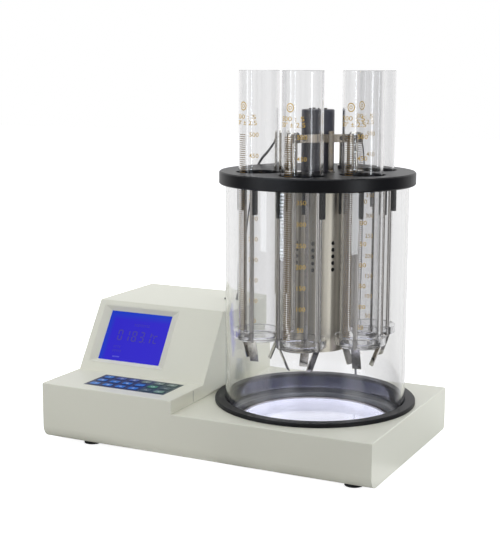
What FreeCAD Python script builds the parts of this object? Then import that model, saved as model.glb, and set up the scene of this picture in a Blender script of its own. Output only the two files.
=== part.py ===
import FreeCAD, Part
import math
import os

# Benchtop density meter: a sheet-metal base with a sloped console on the left and, on the right,
# a lit glass bath whose thick lid carries a stirrer, heaters, probes and four cylinder holders.
# Lengths are in millimetres. X runs to the right, Y to the back and Z up. The origin is on the
# bench, under the middle of the object without its cords.

V = FreeCAD.Vector

# Allowances shared by all pieces
overrun = 2.0
seat_gap = 0.3
slip_gap = 0.2
running_gap = 0.06

# Base housing
base_width = 482.0
base_depth = 294.0
plateau_height = 60.2
deck_height = 78.2
deck_width = 203.0
seam_setback = 60.8
sheet = 1.5
front_bend_radius = 17.0
rear_bend_radius = 6.0
edge_round = 1.2
front_lip = 5.0
end_lip = 13.0
deck_tuck = 12.0
rear_reach = 7.0

# Feet, bottom plate and its screws
foot_height = 7.5
foot_radius = 12.0
foot_taper = 1.0
foot_setback = 35.0
foot_inset_left = 58.0
foot_inset_right = 36.0
foot_bore_radius = 2.3
foot_recess_radius = 4.8
foot_recess_depth = 3.5
plate_thickness = 1.5
plate_overlap = 8.0
vent_slot_length = 40.0
vent_slot_width = 4.0
vent_slot_pitch = 11.0
vent_slot_count = 5
screw_radius = 1.5
screw_head_radius = 2.9
screw_head_height = 1.8
screw_tail = 3.0
side_screw_shares = (0.22, 0.5, 0.78)
rear_screw_shares = (0.25, 0.5, 0.75)

# Console cover
console_height = 170.0
console_foot_setback = 89.7
console_brow_setback = 149.2
brow_round = 2.5
console_slot_count = 7
console_slot_length = 60.0
console_slot_width = 3.5
console_slot_pitch = 8.0
console_slot_drop = 28.0
console_screw_inset = 12.0

# Display, measured along the sloped front from its foot
bezel_width = 125.0
bezel_length = 89.5
bezel_left = 10.0
bezel_foot = 13.0
bezel_depth = 5.0
bezel_flange = 4.0
bezel_flange_thickness = 2.0
display_width = 101.0
display_length = 75.5
glass_overlap = 3.0
glass_thickness = 2.0
module_thickness = 8.0
board_thickness = 1.6
board_margin = 4.0

# Keypad on the deck
keypad_width = 126.0
keypad_depth = 57.0
keypad_left = 53.5
keypad_setback = 20.8
keypad_recess = 0.8
keypad_border = 5.0
key_columns = 6
key_rows = 3
key_pitch_x = 20.2
key_pitch_y = 18.0
key_width = 15.0
key_depth = 12.0
key_rise = 0.4
dome_radius = 3.0
dome_height = 0.6
keypad_board_drop = 3.0
spacer_radius = 2.5

# Boards and supplies inside the base
control_width = 120.0
control_depth = 90.0
control_inset = 30.0
standoff_height = 8.0
standoff_radius = 3.0
chip_width = 16.0
chip_height = 3.0
relay_count = 3
relay_width = 18.0
relay_depth = 15.0
relay_height = 15.0
relay_pitch = 26.0
supply_width = 110.0
supply_depth = 70.0
supply_height = 34.0
supply_inset = 30.0
supply_setback = 60.0
supply_slot_count = 6
supply_slot_pitch = 14.0
supply_slot_width = 3.0
sink_width = 60.0
sink_depth = 60.0
sink_base = 5.0
sink_height = 24.0
sink_fin = 2.0
sink_fin_count = 8
sink_left = 155.0
sink_setback = 190.0
switcher_width = 45.0
switcher_depth = 40.0
switcher_height = 12.0

# Rear wall: mains inlet, switch, fuse
inlet_width = 27.0
inlet_height = 20.0
inlet_flange = 3.0
inlet_flange_thickness = 2.5
inlet_depth = 20.0
inlet_wall = 1.8
inlet_socket_depth = 16.0
inlet_from_left = 60.0
pin_width = 2.0
pin_height = 4.0
pin_length = 10.0
pin_spread = 7.0
pin_rise = 3.0
switch_from_left = 112.0
switch_width = 21.0
switch_height = 27.0
switch_flange = 2.5
switch_flange_thickness = 2.0
switch_depth = 18.0
switch_wall = 2.0
rocker_pivot_depth = 4.0
rocker_pin_radius = 1.5
rocker_pin_length = 1.2
rocker_thickness = 7.0
rocker_tilt_angle = 10.0
fuse_from_left = 150.0
fuse_body_radius = 7.0
fuse_flange_radius = 9.5
fuse_flange_thickness = 1.5
fuse_body_length = 26.0
fuse_stem_radius = 4.0
fuse_stem_length = 20.0
fuse_cap_radius = 8.0
fuse_slot_width = 1.5
fuse_slot_depth = 1.2

# Bath: jar, ring, well and lamp
bath_from_left = 340.7
bath_setback = 153.8
jar_radius = 121.5
jar_wall = 4.5
jar_floor = 6.0
jar_corner = 15.0
jar_height = 326.0
ring_radius = 135.8
ring_thickness = 5.2
ring_bevel = 1.2
well_depth = 30.7
well_gap = 1.5
well_sheet = 1.0
well_flange_radius = 131.0
window_radius = 101.0
cushion_radius = 106.0
cushion_thickness = 1.5
diffuser_radius = 108.0
diffuser_thickness = 4.0
lamp_standoff_count = 4
lamp_radius = 92.0
lamp_standoff = 10.0
lamp_standoff_radius = 4.0
lamp_standoff_share = 0.85
lamp_ring_shares = (0.25, 0.5, 0.75)
lamp_ring_count = 12
lamp_size = 3.0
lamp_height = 1.0

# Lid
lid_radius = 130.0
lid_thickness = 17.0
lid_bevel = 1.5
lid_hole_radius = 30.0
lid_hole_bevel = 0.8
rim_cover = 2.0
rim_gap = 0.8
seal_thickness = 1.0

# Cylinder circle: the first holder's direction and the steps between places round the lid
holder_circle = 79.4
first_holder_angle = 219.4
place_step_angle = 60.0
holder_count = 4

# Measuring cylinders
cylinder_radius = 26.5
cylinder_wall = 2.2
cylinder_floor = 6.0
cylinder_corner = 2.0
cylinder_length = 355.0
cylinder_below_lid = 207.0

# Cylinder holders
holder_face = 28.0
hanger_thickness = 2.6
hanger_width = 5.6
hanger_edge = 2.2
hanger_count = 3
hanger_turn_angle = 60.0
hanger_top_gap = 1.0
hanger_below_bend = 3.0
tab_thickness = 1.5
tab_width = 11.4
tab_run = 13.0
tab_drop = 31.0
clear_ring_radius = 33.0
clear_ring_bore = 27.3
clear_ring_height = 10.0
block_width = 5.6
block_depth = 5.6
block_overlap = 0.8
block_height = 36.0

# Stirrer
motor_radius = 21.8
motor_height = 80.5
motor_wall = 2.0
motor_cap_bevel = 1.0
motor_core_radius = 18.0
motor_core_top_gap = 1.0
motor_screw_count = 3
motor_screw_share = 0.45
shaft_radius = 4.0
shaft_below_lid = 205.0
shaft_into_motor = 30.0
bush_radius = 9.0
bush_flange_radius = 13.0
bush_flange_thickness = 2.0
hub_radius = 8.0
hub_length = 16.0
blade_count = 3
blade_reach = 28.0
blade_width = 16.0
blade_thickness = 1.5
blade_pitch_angle = 35.0
impeller_rise = 6.0

# Guard tube round the stirrer
guard_radius = 41.0
guard_wall = 1.0
guard_below_lid = 219.6
guard_socket = 4.0
guard_column_count = 10
guard_row_count = 5
guard_row_pitch = 8.75
guard_hole_radius = 2.7
guard_first_row_below_lid = 74.6
guard_column_angle = 289.1

# Heaters, probes and the bar over the lid
rod_circle = 49.0
heater_place_share = 0.5
heater_step_count = 2
leg_radius = 3.5
leg_spread = 5.5
leg_above_lid = 40.0
leg_below_lid = 185.0
terminal_radius = 10.0
terminal_height = 12.0
terminal_dome = 2.0
probe_radius = 3.0
probe_head_radius = 5.0
probe_above_lid = 52.0
probe_below_lid = 150.0
limit_above_lid = 46.0
limit_below_lid = 120.0
boot_radius = 3.4
boot_tip_share = 1.4
boot_root_share = 0.4
heater_boot_way_shares = (-0.42, 0.91, 0.0)
sensor_boot_way_shares = (-0.624, 0.693, -0.361)
boot_length = 9.0
boot_below_top = 10.5
boot_run = 20.0
nut_radius = 8.0
nut_sides = 6
nut_height = 5.0
plate_radius = 14.0
lid_plate_thickness = 2.0
bridge_height = 10.5
bridge_thickness = 2.0
bridge_collar = 1.6
bridge_below_top = 3.0
post_width = 6.5
post_thickness = 1.5
post_above_bridge = 4.0
post_share = 0.62
post_foot_length = 9.0
bridge_screw_shares = (0.2, 0.8)
bridge_screw_head = 1.6

# Cords
arc_share = 0.45
sensor_cord_radius = 2.0
heater_cord_radius = 1.6
console_gland_from_left = 168.6
console_gland_setback = 234.3
gland_radius = 5.5
gland_flange_radius = 7.5
gland_flange_height = 2.0
gland_body_height = 3.0
gland_boot_height = 4.0
gland_run = 18.0
rear_gland_run = 10.0
rear_gland_from_left = 336.0
rear_gland_height = 34.0

# Places that follow from the sizes above
left = -base_width / 2
right = base_width / 2
front = -(base_depth + rear_reach) / 2
rear = front + base_depth
pan_z = foot_height
plateau_z = pan_z + plateau_height
deck_z = pan_z + deck_height
console_z = pan_z + console_height
plate_z = pan_z + sheet
floor_z = plate_z + plate_thickness
deck_right = left + deck_width
seam_y = front + seam_setback
slope_foot_y = front + console_foot_setback
slope_brow_y = front + console_brow_setback
slope_rise = console_height - deck_height
slope_run = console_brow_setback - console_foot_setback
slope_tilt = math.degrees(math.atan2(slope_rise, slope_run))
slope_skin = sheet / math.sin(math.radians(slope_tilt))
bath = V(left + bath_from_left, front + bath_setback, 0)
well_floor_z = plateau_z - well_depth
jar_z = well_floor_z + cushion_thickness
jar_top_z = jar_z + jar_height
lid_z = jar_top_z - rim_cover
lid_top_z = lid_z + lid_thickness
cylinder_z = lid_z - cylinder_below_lid
well_radius = jar_radius + well_gap
outlet_z = pan_z + plateau_height / 2
key_pad_shares = ((0, 0), (0, 1), (1, 0), (1, 1))

saved = []


def box(x0, y0, z0, x1, y1, z1):
    """Block between two corners."""
    return Part.makeBox(x1 - x0, y1 - y0, z1 - z0, V(x0, y0, z0))


def rod(radius, z0, z1, centre=V(0, 0, 0)):
    """Upright cylinder."""
    return Part.makeCylinder(radius, z1 - z0, V(centre.x, centre.y, z0))


def tube(outer, inner, z0, z1, centre=V(0, 0, 0)):
    """Upright pipe."""
    core = rod(inner, z0 - overrun, z1 + overrun, centre)
    return rod(outer, z0, z1, centre).cut(core)


def turned(points, centre=V(0, 0, 0)):
    """Solid turned about a vertical axis from (radius, height) points."""
    corners = [V(r, 0, z) for r, z in points]
    face = Part.Face(Part.makePolygon(corners + corners[:1]))
    solid = face.revolve(V(0, 0, 0), V(0, 0, 1), 360)
    solid.translate(V(centre.x, centre.y, 0))
    return solid


def prism_x(points, x0, x1):
    """Solid of a side outline, given as (y, z) points, between two X places."""
    corners = [V(x0, y, z) for y, z in points]
    face = Part.Face(Part.makePolygon(corners + corners[:1]))
    return face.extrude(V(x1 - x0, 0, 0))


def joined(shapes):
    """One solid from pieces that touch."""
    shapes = list(shapes)
    whole = shapes[0].multiFuse(shapes[1:]) if len(shapes) > 1 else shapes[0]
    return whole.removeSplitter()


def group(shapes):
    """Separate solids kept in one node."""
    return Part.makeCompound(list(shapes))


def polar(radius, angle, centre=V(0, 0, 0)):
    """Place at a distance and a direction from a centre."""
    turn = math.radians(angle)
    return V(centre.x + radius * math.cos(turn), centre.y + radius * math.sin(turn), 0)


def turned_to(shape, angle, centre=V(0, 0, 0)):
    """Copy of a shape turned about a vertical axis."""
    copy = shape.copy()
    copy.rotate(V(centre.x, centre.y, 0), V(0, 0, 1), angle)
    return copy


def moved(shape, offset):
    """Copy of a shape at another place."""
    copy = shape.copy()
    copy.translate(offset)
    return copy


def edges_where(shape, test):
    """Edges whose two ends and middle all pass a test."""
    chosen = []
    for edge in shape.Edges:
        first, last = edge.FirstParameter, edge.LastParameter
        points = [edge.valueAt(first), edge.valueAt((first + last) / 2), edge.valueAt(last)]
        if all(test(p) for p in points):
            chosen.append(edge)
    return chosen


def near(a, b):
    """Whether two lengths agree within the running gap."""
    return abs(a - b) < running_gap


def lens_box(width, depth, z0, z1, centre):
    """Block centred on a place."""
    return box(centre.x - width / 2, centre.y - depth / 2, z0,
               centre.x + width / 2, centre.y + depth / 2, z1)


def save(name, shape):
    """Write one node and report its solids and volume."""
    solids = shape.Solids
    valid = all(s.isValid() and s.isClosed() for s in solids)
    volume = sum(s.Volume for s in solids)
    print(f"{name}: {len(solids)} solids, {volume / 1000:.2f} cm3, valid {valid}")
    shape.exportStep(os.path.join("parts", name + ".step"))
    saved.append(name)


# Base


def pan_block(inset):
    """Long low block of the base, with its two rounded lower edges."""
    block = box(left + inset, front + inset, pan_z + inset,
                right - inset, rear - inset, plateau_z - inset)
    low_front = edges_where(block, lambda p: near(p.y, front + inset) and near(p.z, pan_z + inset))
    block = block.makeFillet(front_bend_radius - inset, low_front)
    low_rear = edges_where(block, lambda p: near(p.y, rear - inset) and near(p.z, pan_z + inset))
    return block.makeFillet(rear_bend_radius - inset, low_rear)


def deck_block(inset):
    """Raised block under the keypad, stepped in behind the seam for the cover's skirts."""
    skirt = sheet + slip_gap
    low = plateau_z - inset - overrun
    back = slope_foot_y + deck_tuck + (overrun if inset else 0)
    ahead = box(left + inset, front + inset, low, deck_right - inset, seam_y - inset, deck_z - inset)
    behind = box(left + skirt + inset, front + inset, low,
                 deck_right - skirt - inset, back, deck_z - inset)
    return ahead.fuse(behind)


def round_top_edges(shape):
    """Soften the long painted edges of the deck and the plateau."""
    def outside(p):
        on_plateau = near(p.z, plateau_z) and (near(p.y, front) or near(p.y, rear))
        on_deck = near(p.z, deck_z) and near(p.y, front)
        on_right = near(p.z, plateau_z) and near(p.x, right)
        on_step = near(p.z, deck_z) and near(p.x, deck_right)
        return on_plateau or on_deck or on_right or on_step
    return shape.makeFillet(edge_round, edges_where(shape, outside))


def keypad_corner():
    """Front left corner of the keypad on the deck."""
    return V(left + keypad_left, front + keypad_setback, deck_z)


def keypad_window():
    """Opening in the deck under the keypad, for the contacts."""
    corner = keypad_corner()
    return box(corner.x + keypad_border, corner.y + keypad_border, deck_z - sheet - overrun,
               corner.x + keypad_width - keypad_border, corner.y + keypad_depth - keypad_border,
               deck_z + overrun)


def keypad_pocket():
    """Shallow recess that holds the keypad's membrane."""
    corner = keypad_corner()
    return box(corner.x - slip_gap, corner.y - slip_gap, deck_z - keypad_recess,
               corner.x + keypad_width + slip_gap, corner.y + keypad_depth + slip_gap,
               deck_z + overrun)


def bottom_opening():
    """Opening in the underside between the lips."""
    return box(left + end_lip, front + front_bend_radius + front_lip, pan_z - overrun,
               right - end_lip, rear - end_lip, pan_z + sheet + overrun)


def base_screw_places():
    """Where the bottom plate's screws go through the lips."""
    places = []
    for share in side_screw_shares:
        y = front + base_depth * share
        places.append(V(left + end_lip / 2, y, 0))
        places.append(V(right - end_lip / 2, y, 0))
    for share in rear_screw_shares:
        places.append(V(left + base_width * share, rear - end_lip / 2, 0))
    return places


def foot_places():
    """Centres of the four feet."""
    xs = (left + foot_inset_left, right - foot_inset_right)
    ys = (front + foot_setback, rear - foot_setback)
    return [V(x, y, 0) for x in xs for y in ys]


def rear_hole(from_left, width, height):
    """Rectangular opening in the rear wall."""
    x = left + from_left
    return box(x - width / 2, rear - sheet - overrun, outlet_z - height / 2,
               x + width / 2, rear + overrun, outlet_z + height / 2)


def rear_rod(radius, from_left, height, y0, y1):
    """Cylinder along Y in line with a place on the rear wall."""
    return Part.makeCylinder(radius, y1 - y0, V(left + from_left, y0, height), V(0, 1, 0))


def rear_bore(radius, from_left, height):
    """Round opening in the rear wall."""
    return rear_rod(radius, from_left, height, rear - sheet - overrun, rear + overrun)


def wiring_opening():
    """Opening in the plateau plate under the console."""
    y0 = slope_foot_y + deck_tuck + control_inset
    return box(left + deck_width - control_inset, y0, plateau_z - sheet - overrun,
               deck_right - sheet - end_lip, rear - control_inset, plateau_z + overrun)


def base_housing():
    """Folded housing: deck, plateau, front, rear, ends and the lips underneath."""
    outer = round_top_edges(pan_block(0).fuse(deck_block(0)).removeSplitter())
    inner = pan_block(sheet).fuse(deck_block(sheet)).removeSplitter()
    shell = outer.cut(inner)
    cuts = [bottom_opening(), keypad_window(), keypad_pocket(), wiring_opening(),
            rod(well_radius + well_sheet + slip_gap, plateau_z - sheet - overrun,
                plateau_z + overrun, bath),
            rear_hole(inlet_from_left, inlet_width + slip_gap, inlet_height + slip_gap),
            rear_hole(switch_from_left, switch_width + slip_gap, switch_height + slip_gap),
            rear_bore(fuse_body_radius + slip_gap, fuse_from_left, outlet_z),
            rear_bore(gland_radius + slip_gap, rear_gland_from_left, rear_gland_height)]
    for place in base_screw_places():
        cuts.append(rod(screw_radius + slip_gap, pan_z - overrun, plate_z + overrun, place))
    save("base_housing", shell.cut(group(cuts)))


def bottom_plate():
    """Flat plate that lies on the lips from inside, with vent slots and screw holes."""
    plate = box(left + end_lip - plate_overlap, front + front_bend_radius, plate_z,
                right - end_lip + plate_overlap, rear - rear_bend_radius, floor_z)
    cuts = []
    for place in base_screw_places():
        cuts.append(rod(screw_radius + slip_gap, plate_z - overrun, floor_z + overrun, place))
    for place in foot_places():
        cuts.append(rod(screw_radius + slip_gap, plate_z - overrun, floor_z + overrun, place))
    slot_x = deck_right - vent_slot_length * 2
    for index in range(vent_slot_count):
        y = seam_y + vent_slot_pitch * index
        cuts.append(box(slot_x, y, plate_z - overrun, slot_x + vent_slot_length,
                        y + vent_slot_width, floor_z + overrun))
    save("bottom_plate", plate.cut(group(cuts)))


def feet():
    """Rubber feet with a recess for their screws."""
    solids = []
    for place in foot_places():
        body = turned([(foot_bore_radius, foot_recess_depth), (foot_recess_radius, foot_recess_depth),
                       (foot_recess_radius, 0), (foot_radius, 0),
                       (foot_radius - foot_taper, plate_z), (foot_bore_radius, plate_z)], place)
        solids.append(body)
    save("feet", group(solids))


def screw(place, under_head_z, tail_z):
    """Pan-head screw that points up."""
    head = rod(screw_head_radius, under_head_z - screw_head_height, under_head_z, place)
    shank = rod(screw_radius, under_head_z - screw_head_height / 2, tail_z, place)
    return joined([head, shank])


def base_screws():
    """Screws of the bottom plate and of the feet."""
    tail = floor_z + screw_tail
    solids = [screw(place, pan_z, tail) for place in base_screw_places()]
    solids += [screw(place, foot_recess_depth, tail) for place in foot_places()]
    save("base_screws", group(solids))


# Console


def cover_outline():
    """Side outline of the console cover with its skirts."""
    return [(seam_y, plateau_z), (rear, plateau_z), (rear, console_z), (slope_brow_y, console_z),
            (slope_foot_y, deck_z), (seam_y, deck_z)]


def cover_hollow():
    """Side outline of the space inside the cover."""
    brow = slope_foot_y + slope_skin + (slope_rise - sheet) * slope_run / slope_rise
    return [(seam_y - overrun, plateau_z - overrun), (rear - sheet, plateau_z - overrun),
            (rear - sheet, console_z - sheet), (brow, console_z - sheet),
            (slope_foot_y + slope_skin, deck_z), (seam_y - overrun, deck_z)]


def on_slope(shape):
    """Copy of a shape drawn flat, laid on the sloped front: X along, Y up the slope, Z out."""
    copy = shape.copy()
    copy.rotate(V(0, 0, 0), V(1, 0, 0), slope_tilt)
    copy.translate(V(left, slope_foot_y, deck_z))
    return copy


def slope_block(width, length, depth0, depth1):
    """Block on the display's middle, between two depths behind the sloped face."""
    x = bezel_left + bezel_width / 2
    y = bezel_foot + bezel_length / 2
    flat = box(x - width / 2, y - length / 2, -depth1, x + width / 2, y + length / 2, -depth0)
    return flat


def console_cover():
    """Sloped cover with the display window and the rear vents."""
    outer = prism_x(cover_outline(), left, deck_right)

    def brow(p):
        return near(p.z, console_z) and near(p.y, slope_brow_y)

    def rim(p):
        on_top = near(p.z, console_z) and not near(p.y, slope_brow_y)
        on_side = near(p.x, left) or near(p.x, deck_right) or near(p.y, rear)
        return on_top and on_side

    outer = outer.makeFillet(brow_round, edges_where(outer, brow))
    outer = outer.makeFillet(edge_round, edges_where(outer, rim))
    inner = prism_x(cover_hollow(), left + sheet, deck_right - sheet)
    window = on_slope(slope_block(bezel_width, bezel_length, -overrun, sheet + overrun))
    cuts = [window]
    middle = left + deck_width / 2
    for index in range(console_slot_count):
        z = console_z - console_slot_drop - console_slot_pitch * index
        cuts.append(box(middle - console_slot_length / 2, rear - sheet - overrun, z,
                        middle + console_slot_length / 2, rear + overrun, z + console_slot_width))
    for place in console_screw_places():
        cuts.append(Part.makeCylinder(screw_radius + slip_gap, sheet + overrun * 2,
                                      V(place.x, rear - sheet - overrun, place.z), V(0, 1, 0)))
    gland = V(left + console_gland_from_left, front + console_gland_setback, 0)
    cuts.append(rod(gland_radius + slip_gap, console_z - sheet - overrun, console_z + overrun, gland))
    save("console_cover", outer.cut(inner).cut(group(cuts)))


def console_screw_places():
    """Screws on the back of the cover, near its lower corners."""
    z = plateau_z + console_screw_inset
    return [V(left + console_screw_inset, rear, z), V(deck_right - console_screw_inset, rear, z)]


def console_screws():
    """Screws on the back of the cover."""
    solids = []
    for place in console_screw_places():
        head = Part.makeCylinder(screw_head_radius, screw_head_height, V(place.x, rear, place.z),
                                 V(0, 1, 0))
        shank = Part.makeCylinder(screw_radius, sheet + screw_tail + overrun,
                                  V(place.x, rear - sheet - screw_tail, place.z), V(0, 1, 0))
        solids.append(joined([head, shank]))
    save("console_screws", group(solids))


def display_bezel():
    """Moulded frame whose walls lean in to the display glass."""
    x0 = bezel_left + slip_gap
    y0 = bezel_foot + slip_gap
    x1 = bezel_left + bezel_width - slip_gap
    y1 = bezel_foot + bezel_length - slip_gap
    body = box(x0, y0, -bezel_depth, x1, y1, 0)
    wide = slope_block(bezel_width + bezel_flange * 2, bezel_length + bezel_flange * 2,
                       sheet, sheet + bezel_flange_thickness)
    side = (bezel_width - display_width) / 2 - edge_round
    end = (bezel_length - display_length) / 2 - edge_round
    mouth = Part.makePolygon([V(x0 + edge_round, y0 + edge_round, 0),
                              V(x1 - edge_round, y0 + edge_round, 0),
                              V(x1 - edge_round, y1 - edge_round, 0),
                              V(x0 + edge_round, y1 - edge_round, 0),
                              V(x0 + edge_round, y0 + edge_round, 0)])
    throat = Part.makePolygon([V(x0 + edge_round + side, y0 + edge_round + end, -bezel_depth),
                               V(x1 - edge_round - side, y0 + edge_round + end, -bezel_depth),
                               V(x1 - edge_round - side, y1 - edge_round - end, -bezel_depth),
                               V(x0 + edge_round + side, y1 - edge_round - end, -bezel_depth),
                               V(x0 + edge_round + side, y0 + edge_round + end, -bezel_depth)])
    funnel = Part.makeLoft([throat, mouth], True, True)
    save("display_bezel", on_slope(body.fuse(wide).cut(funnel).removeSplitter()))


def display_glass():
    """Flat blue glass behind the frame's opening."""
    glass = slope_block(display_width + glass_overlap * 2, display_length + glass_overlap * 2,
                        bezel_depth, bezel_depth + glass_thickness)
    save("display_glass", on_slope(glass))


def display_board():
    """Display module and its board, with spacers up to the frame."""
    depth = bezel_depth + glass_thickness
    module = slope_block(display_width + glass_overlap * 2, display_length + glass_overlap * 2,
                         depth, depth + module_thickness)
    board = slope_block(bezel_width, bezel_length, depth + module_thickness,
                        depth + module_thickness + board_thickness)
    posts = []
    for share_x, share_y in key_pad_shares:
        x = bezel_left + board_margin + share_x * (bezel_width - board_margin * 2)
        y = bezel_foot + board_margin + share_y * (bezel_length - board_margin * 2)
        posts.append(Part.makeCylinder(spacer_radius, depth + module_thickness - bezel_depth,
                                       V(x, y, -depth - module_thickness), V(0, 0, 1)))
    save("display_board", on_slope(joined([module, board] + posts)))


def key_places():
    """Centres of the key areas, from the front left one."""
    corner = keypad_corner()
    middle = V(corner.x + keypad_width / 2, corner.y + keypad_depth / 2, 0)
    places = []
    for row in range(key_rows):
        for column in range(key_columns):
            x = middle.x + (column - (key_columns - 1) / 2) * key_pitch_x
            y = middle.y + (row - (key_rows - 1) / 2) * key_pitch_y
            places.append(V(x, y, 0))
    return places


def keypad_overlay():
    """Membrane with its embossed key areas."""
    corner = keypad_corner()
    pieces = [box(corner.x, corner.y, deck_z - keypad_recess,
                  corner.x + keypad_width, corner.y + keypad_depth, deck_z)]
    for place in key_places():
        pieces.append(lens_box(key_width, key_depth, deck_z - keypad_recess / 2,
                               deck_z + key_rise, place))
    save("keypad_overlay", joined(pieces))


def keypad_board():
    """Contact board under the deck, with a dome under each key area and corner spacers."""
    corner = keypad_corner()
    top = deck_z - sheet - keypad_board_drop
    pieces = [box(corner.x, corner.y, top - board_thickness,
                  corner.x + keypad_width, corner.y + keypad_depth, top)]
    for place in key_places():
        pieces.append(rod(dome_radius, top - board_thickness / 2, top + dome_height, place))
    for share_x, share_y in key_pad_shares:
        place = V(corner.x + spacer_radius + share_x * (keypad_width - spacer_radius * 2),
                  corner.y + spacer_radius + share_y * (keypad_depth - spacer_radius * 2), 0)
        pieces.append(rod(spacer_radius, top - board_thickness / 2, deck_z - sheet, place))
    save("keypad_board", joined(pieces))


# Inside the base


def control_board():
    """Main board on stand-offs above the plateau plate, with a chip and relays."""
    x0 = left + control_inset
    y0 = slope_foot_y + deck_tuck + control_inset
    z0 = plateau_z + standoff_height
    board = box(x0, y0, z0, x0 + control_width, y0 + control_depth, z0 + board_thickness)
    pieces = [board]
    for share_x, share_y in key_pad_shares:
        place = V(x0 + board_margin + share_x * (control_width - board_margin * 2),
                  y0 + board_margin + share_y * (control_depth - board_margin * 2), 0)
        pieces.append(rod(standoff_radius, plateau_z, z0 + board_thickness / 2, place))
    middle = V(x0 + control_width / 2, y0 + control_depth / 4, 0)
    pieces.append(lens_box(chip_width, chip_width, z0, z0 + board_thickness + chip_height, middle))
    for index in range(relay_count):
        place = V(x0 + relay_pitch * (index + 1), y0 + control_depth - relay_depth, 0)
        pieces.append(lens_box(relay_width, relay_depth, z0,
                               z0 + board_thickness + relay_height, place))
    save("control_board", joined(pieces))


def power_supply():
    """Metal case with cooling slots on the bottom plate."""
    x0 = left + supply_inset
    y0 = front + supply_setback
    case = box(x0, y0, floor_z, x0 + supply_width, y0 + supply_depth, floor_z + supply_height)
    cuts = []
    for index in range(supply_slot_count):
        x = x0 + supply_slot_pitch * (index + 1)
        cuts.append(box(x, y0 + supply_slot_pitch, floor_z + supply_height - supply_slot_width,
                        x + supply_slot_width, y0 + supply_depth - supply_slot_pitch,
                        floor_z + supply_height + overrun))
    save("power_supply", case.cut(group(cuts)))


def heater_relay():
    """Finned sink on the bottom plate with the heater's switching block on its side."""
    x0 = left + sink_left
    y0 = front + sink_setback
    base = box(x0, y0, floor_z, x0 + sink_width, y0 + sink_depth, floor_z + sink_base)
    pieces = [base]
    pitch = (sink_width - sink_fin) / (sink_fin_count - 1)
    for index in range(sink_fin_count):
        x = x0 + pitch * index
        pieces.append(box(x, y0, floor_z + sink_base / 2, x + sink_fin, y0 + sink_depth,
                          floor_z + sink_height))
    block = box(x0 - switcher_width, y0, floor_z, x0, y0 + switcher_depth,
                floor_z + switcher_height)
    save("heater_relay", group([joined(pieces), block]))


# Rear wall


def mains_inlet():
    """Appliance inlet with three flat pins."""
    x = left + inlet_from_left
    half_w = inlet_width / 2
    half_h = inlet_height / 2
    flange = box(x - half_w - inlet_flange, rear, outlet_z - half_h - inlet_flange,
                 x + half_w + inlet_flange, rear + inlet_flange_thickness,
                 outlet_z + half_h + inlet_flange)
    body = box(x - half_w, rear - inlet_depth, outlet_z - half_h,
               x + half_w, rear + inlet_flange_thickness / 2, outlet_z + half_h)
    mouth_y = rear + inlet_flange_thickness
    floor_y = mouth_y - inlet_socket_depth
    socket = box(x - half_w + inlet_wall, floor_y, outlet_z - half_h + inlet_wall,
                 x + half_w - inlet_wall, mouth_y + overrun, outlet_z + half_h - inlet_wall)
    pieces = [flange.fuse(body).cut(socket)]
    for dx, dz in ((-pin_spread, -pin_rise), (0, pin_rise), (pin_spread, -pin_rise)):
        pieces.append(box(x + dx - pin_width / 2, floor_y - inlet_wall / 2,
                          outlet_z + dz - pin_height / 2, x + dx + pin_width / 2,
                          floor_y + pin_length, outlet_z + dz + pin_height / 2))
    save("mains_inlet", joined(pieces))


def rocker_axis():
    """Middle of the rocker's hinge."""
    return V(left + switch_from_left, rear - rocker_pivot_depth, outlet_z)


def switch_frame():
    """Switch body with a flange and two bores for the rocker's pins."""
    x = left + switch_from_left
    half_w = switch_width / 2
    half_h = switch_height / 2
    flange = box(x - half_w - switch_flange, rear, outlet_z - half_h - switch_flange,
                 x + half_w + switch_flange, rear + switch_flange_thickness,
                 outlet_z + half_h + switch_flange)
    body = box(x - half_w, rear - switch_depth, outlet_z - half_h,
               x + half_w, rear + switch_flange_thickness / 2, outlet_z + half_h)
    room = box(x - half_w + switch_wall, rear - switch_depth + switch_wall,
               outlet_z - half_h + switch_wall, x + half_w - switch_wall, rear + overrun * 2,
               outlet_z + half_h - switch_wall)
    pivot = rocker_axis()
    reach = half_w - switch_wall + rocker_pin_length + running_gap
    bore = Part.makeCylinder(rocker_pin_radius + running_gap, reach * 2,
                             V(pivot.x - reach, pivot.y, pivot.z), V(1, 0, 0))
    save("switch_frame", flange.fuse(body).cut(room).cut(bore))


def switch_rocker():
    """Rocker with a shallow vee front, resting with its upper half pressed in."""
    pivot = rocker_axis()
    half_w = switch_width / 2 - switch_wall - seat_gap
    half_h = switch_height / 2 - switch_wall - seat_gap - edge_round
    front_y = rocker_pivot_depth + switch_flange_thickness
    crest = front_y + rocker_thickness * math.tan(math.radians(rocker_tilt_angle))
    outline = [(-rocker_thickness / 2, -rocker_thickness / 2), (front_y, -half_h),
               (front_y - rocker_pin_radius / 2, 0), (crest, half_h),
               (-rocker_thickness / 2, rocker_thickness / 2)]
    wedge = prism_x(outline, -half_w, half_w)
    pins = Part.makeCylinder(rocker_pin_radius, (half_w + rocker_pin_length) * 2,
                             V(-half_w - rocker_pin_length, 0, 0), V(1, 0, 0))
    rocker = joined([wedge, pins])
    rocker.rotate(V(0, 0, 0), V(1, 0, 0), rocker_tilt_angle)
    rocker.translate(pivot)
    save("switch_rocker", rocker)


def fuse_body():
    """Round fuse holder through the rear wall."""
    y0 = rear - fuse_body_length
    body = rear_rod(fuse_body_radius, fuse_from_left, outlet_z, y0, rear + fuse_flange_thickness / 2)
    flange = rear_rod(fuse_flange_radius, fuse_from_left, outlet_z, rear,
                      rear + fuse_flange_thickness)
    bore = rear_rod(fuse_stem_radius + running_gap, fuse_from_left, outlet_z,
                    rear + fuse_flange_thickness - fuse_stem_length - seat_gap,
                    rear + fuse_flange_thickness + overrun)
    save("fuse_body", flange.fuse(body).cut(bore))


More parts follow.
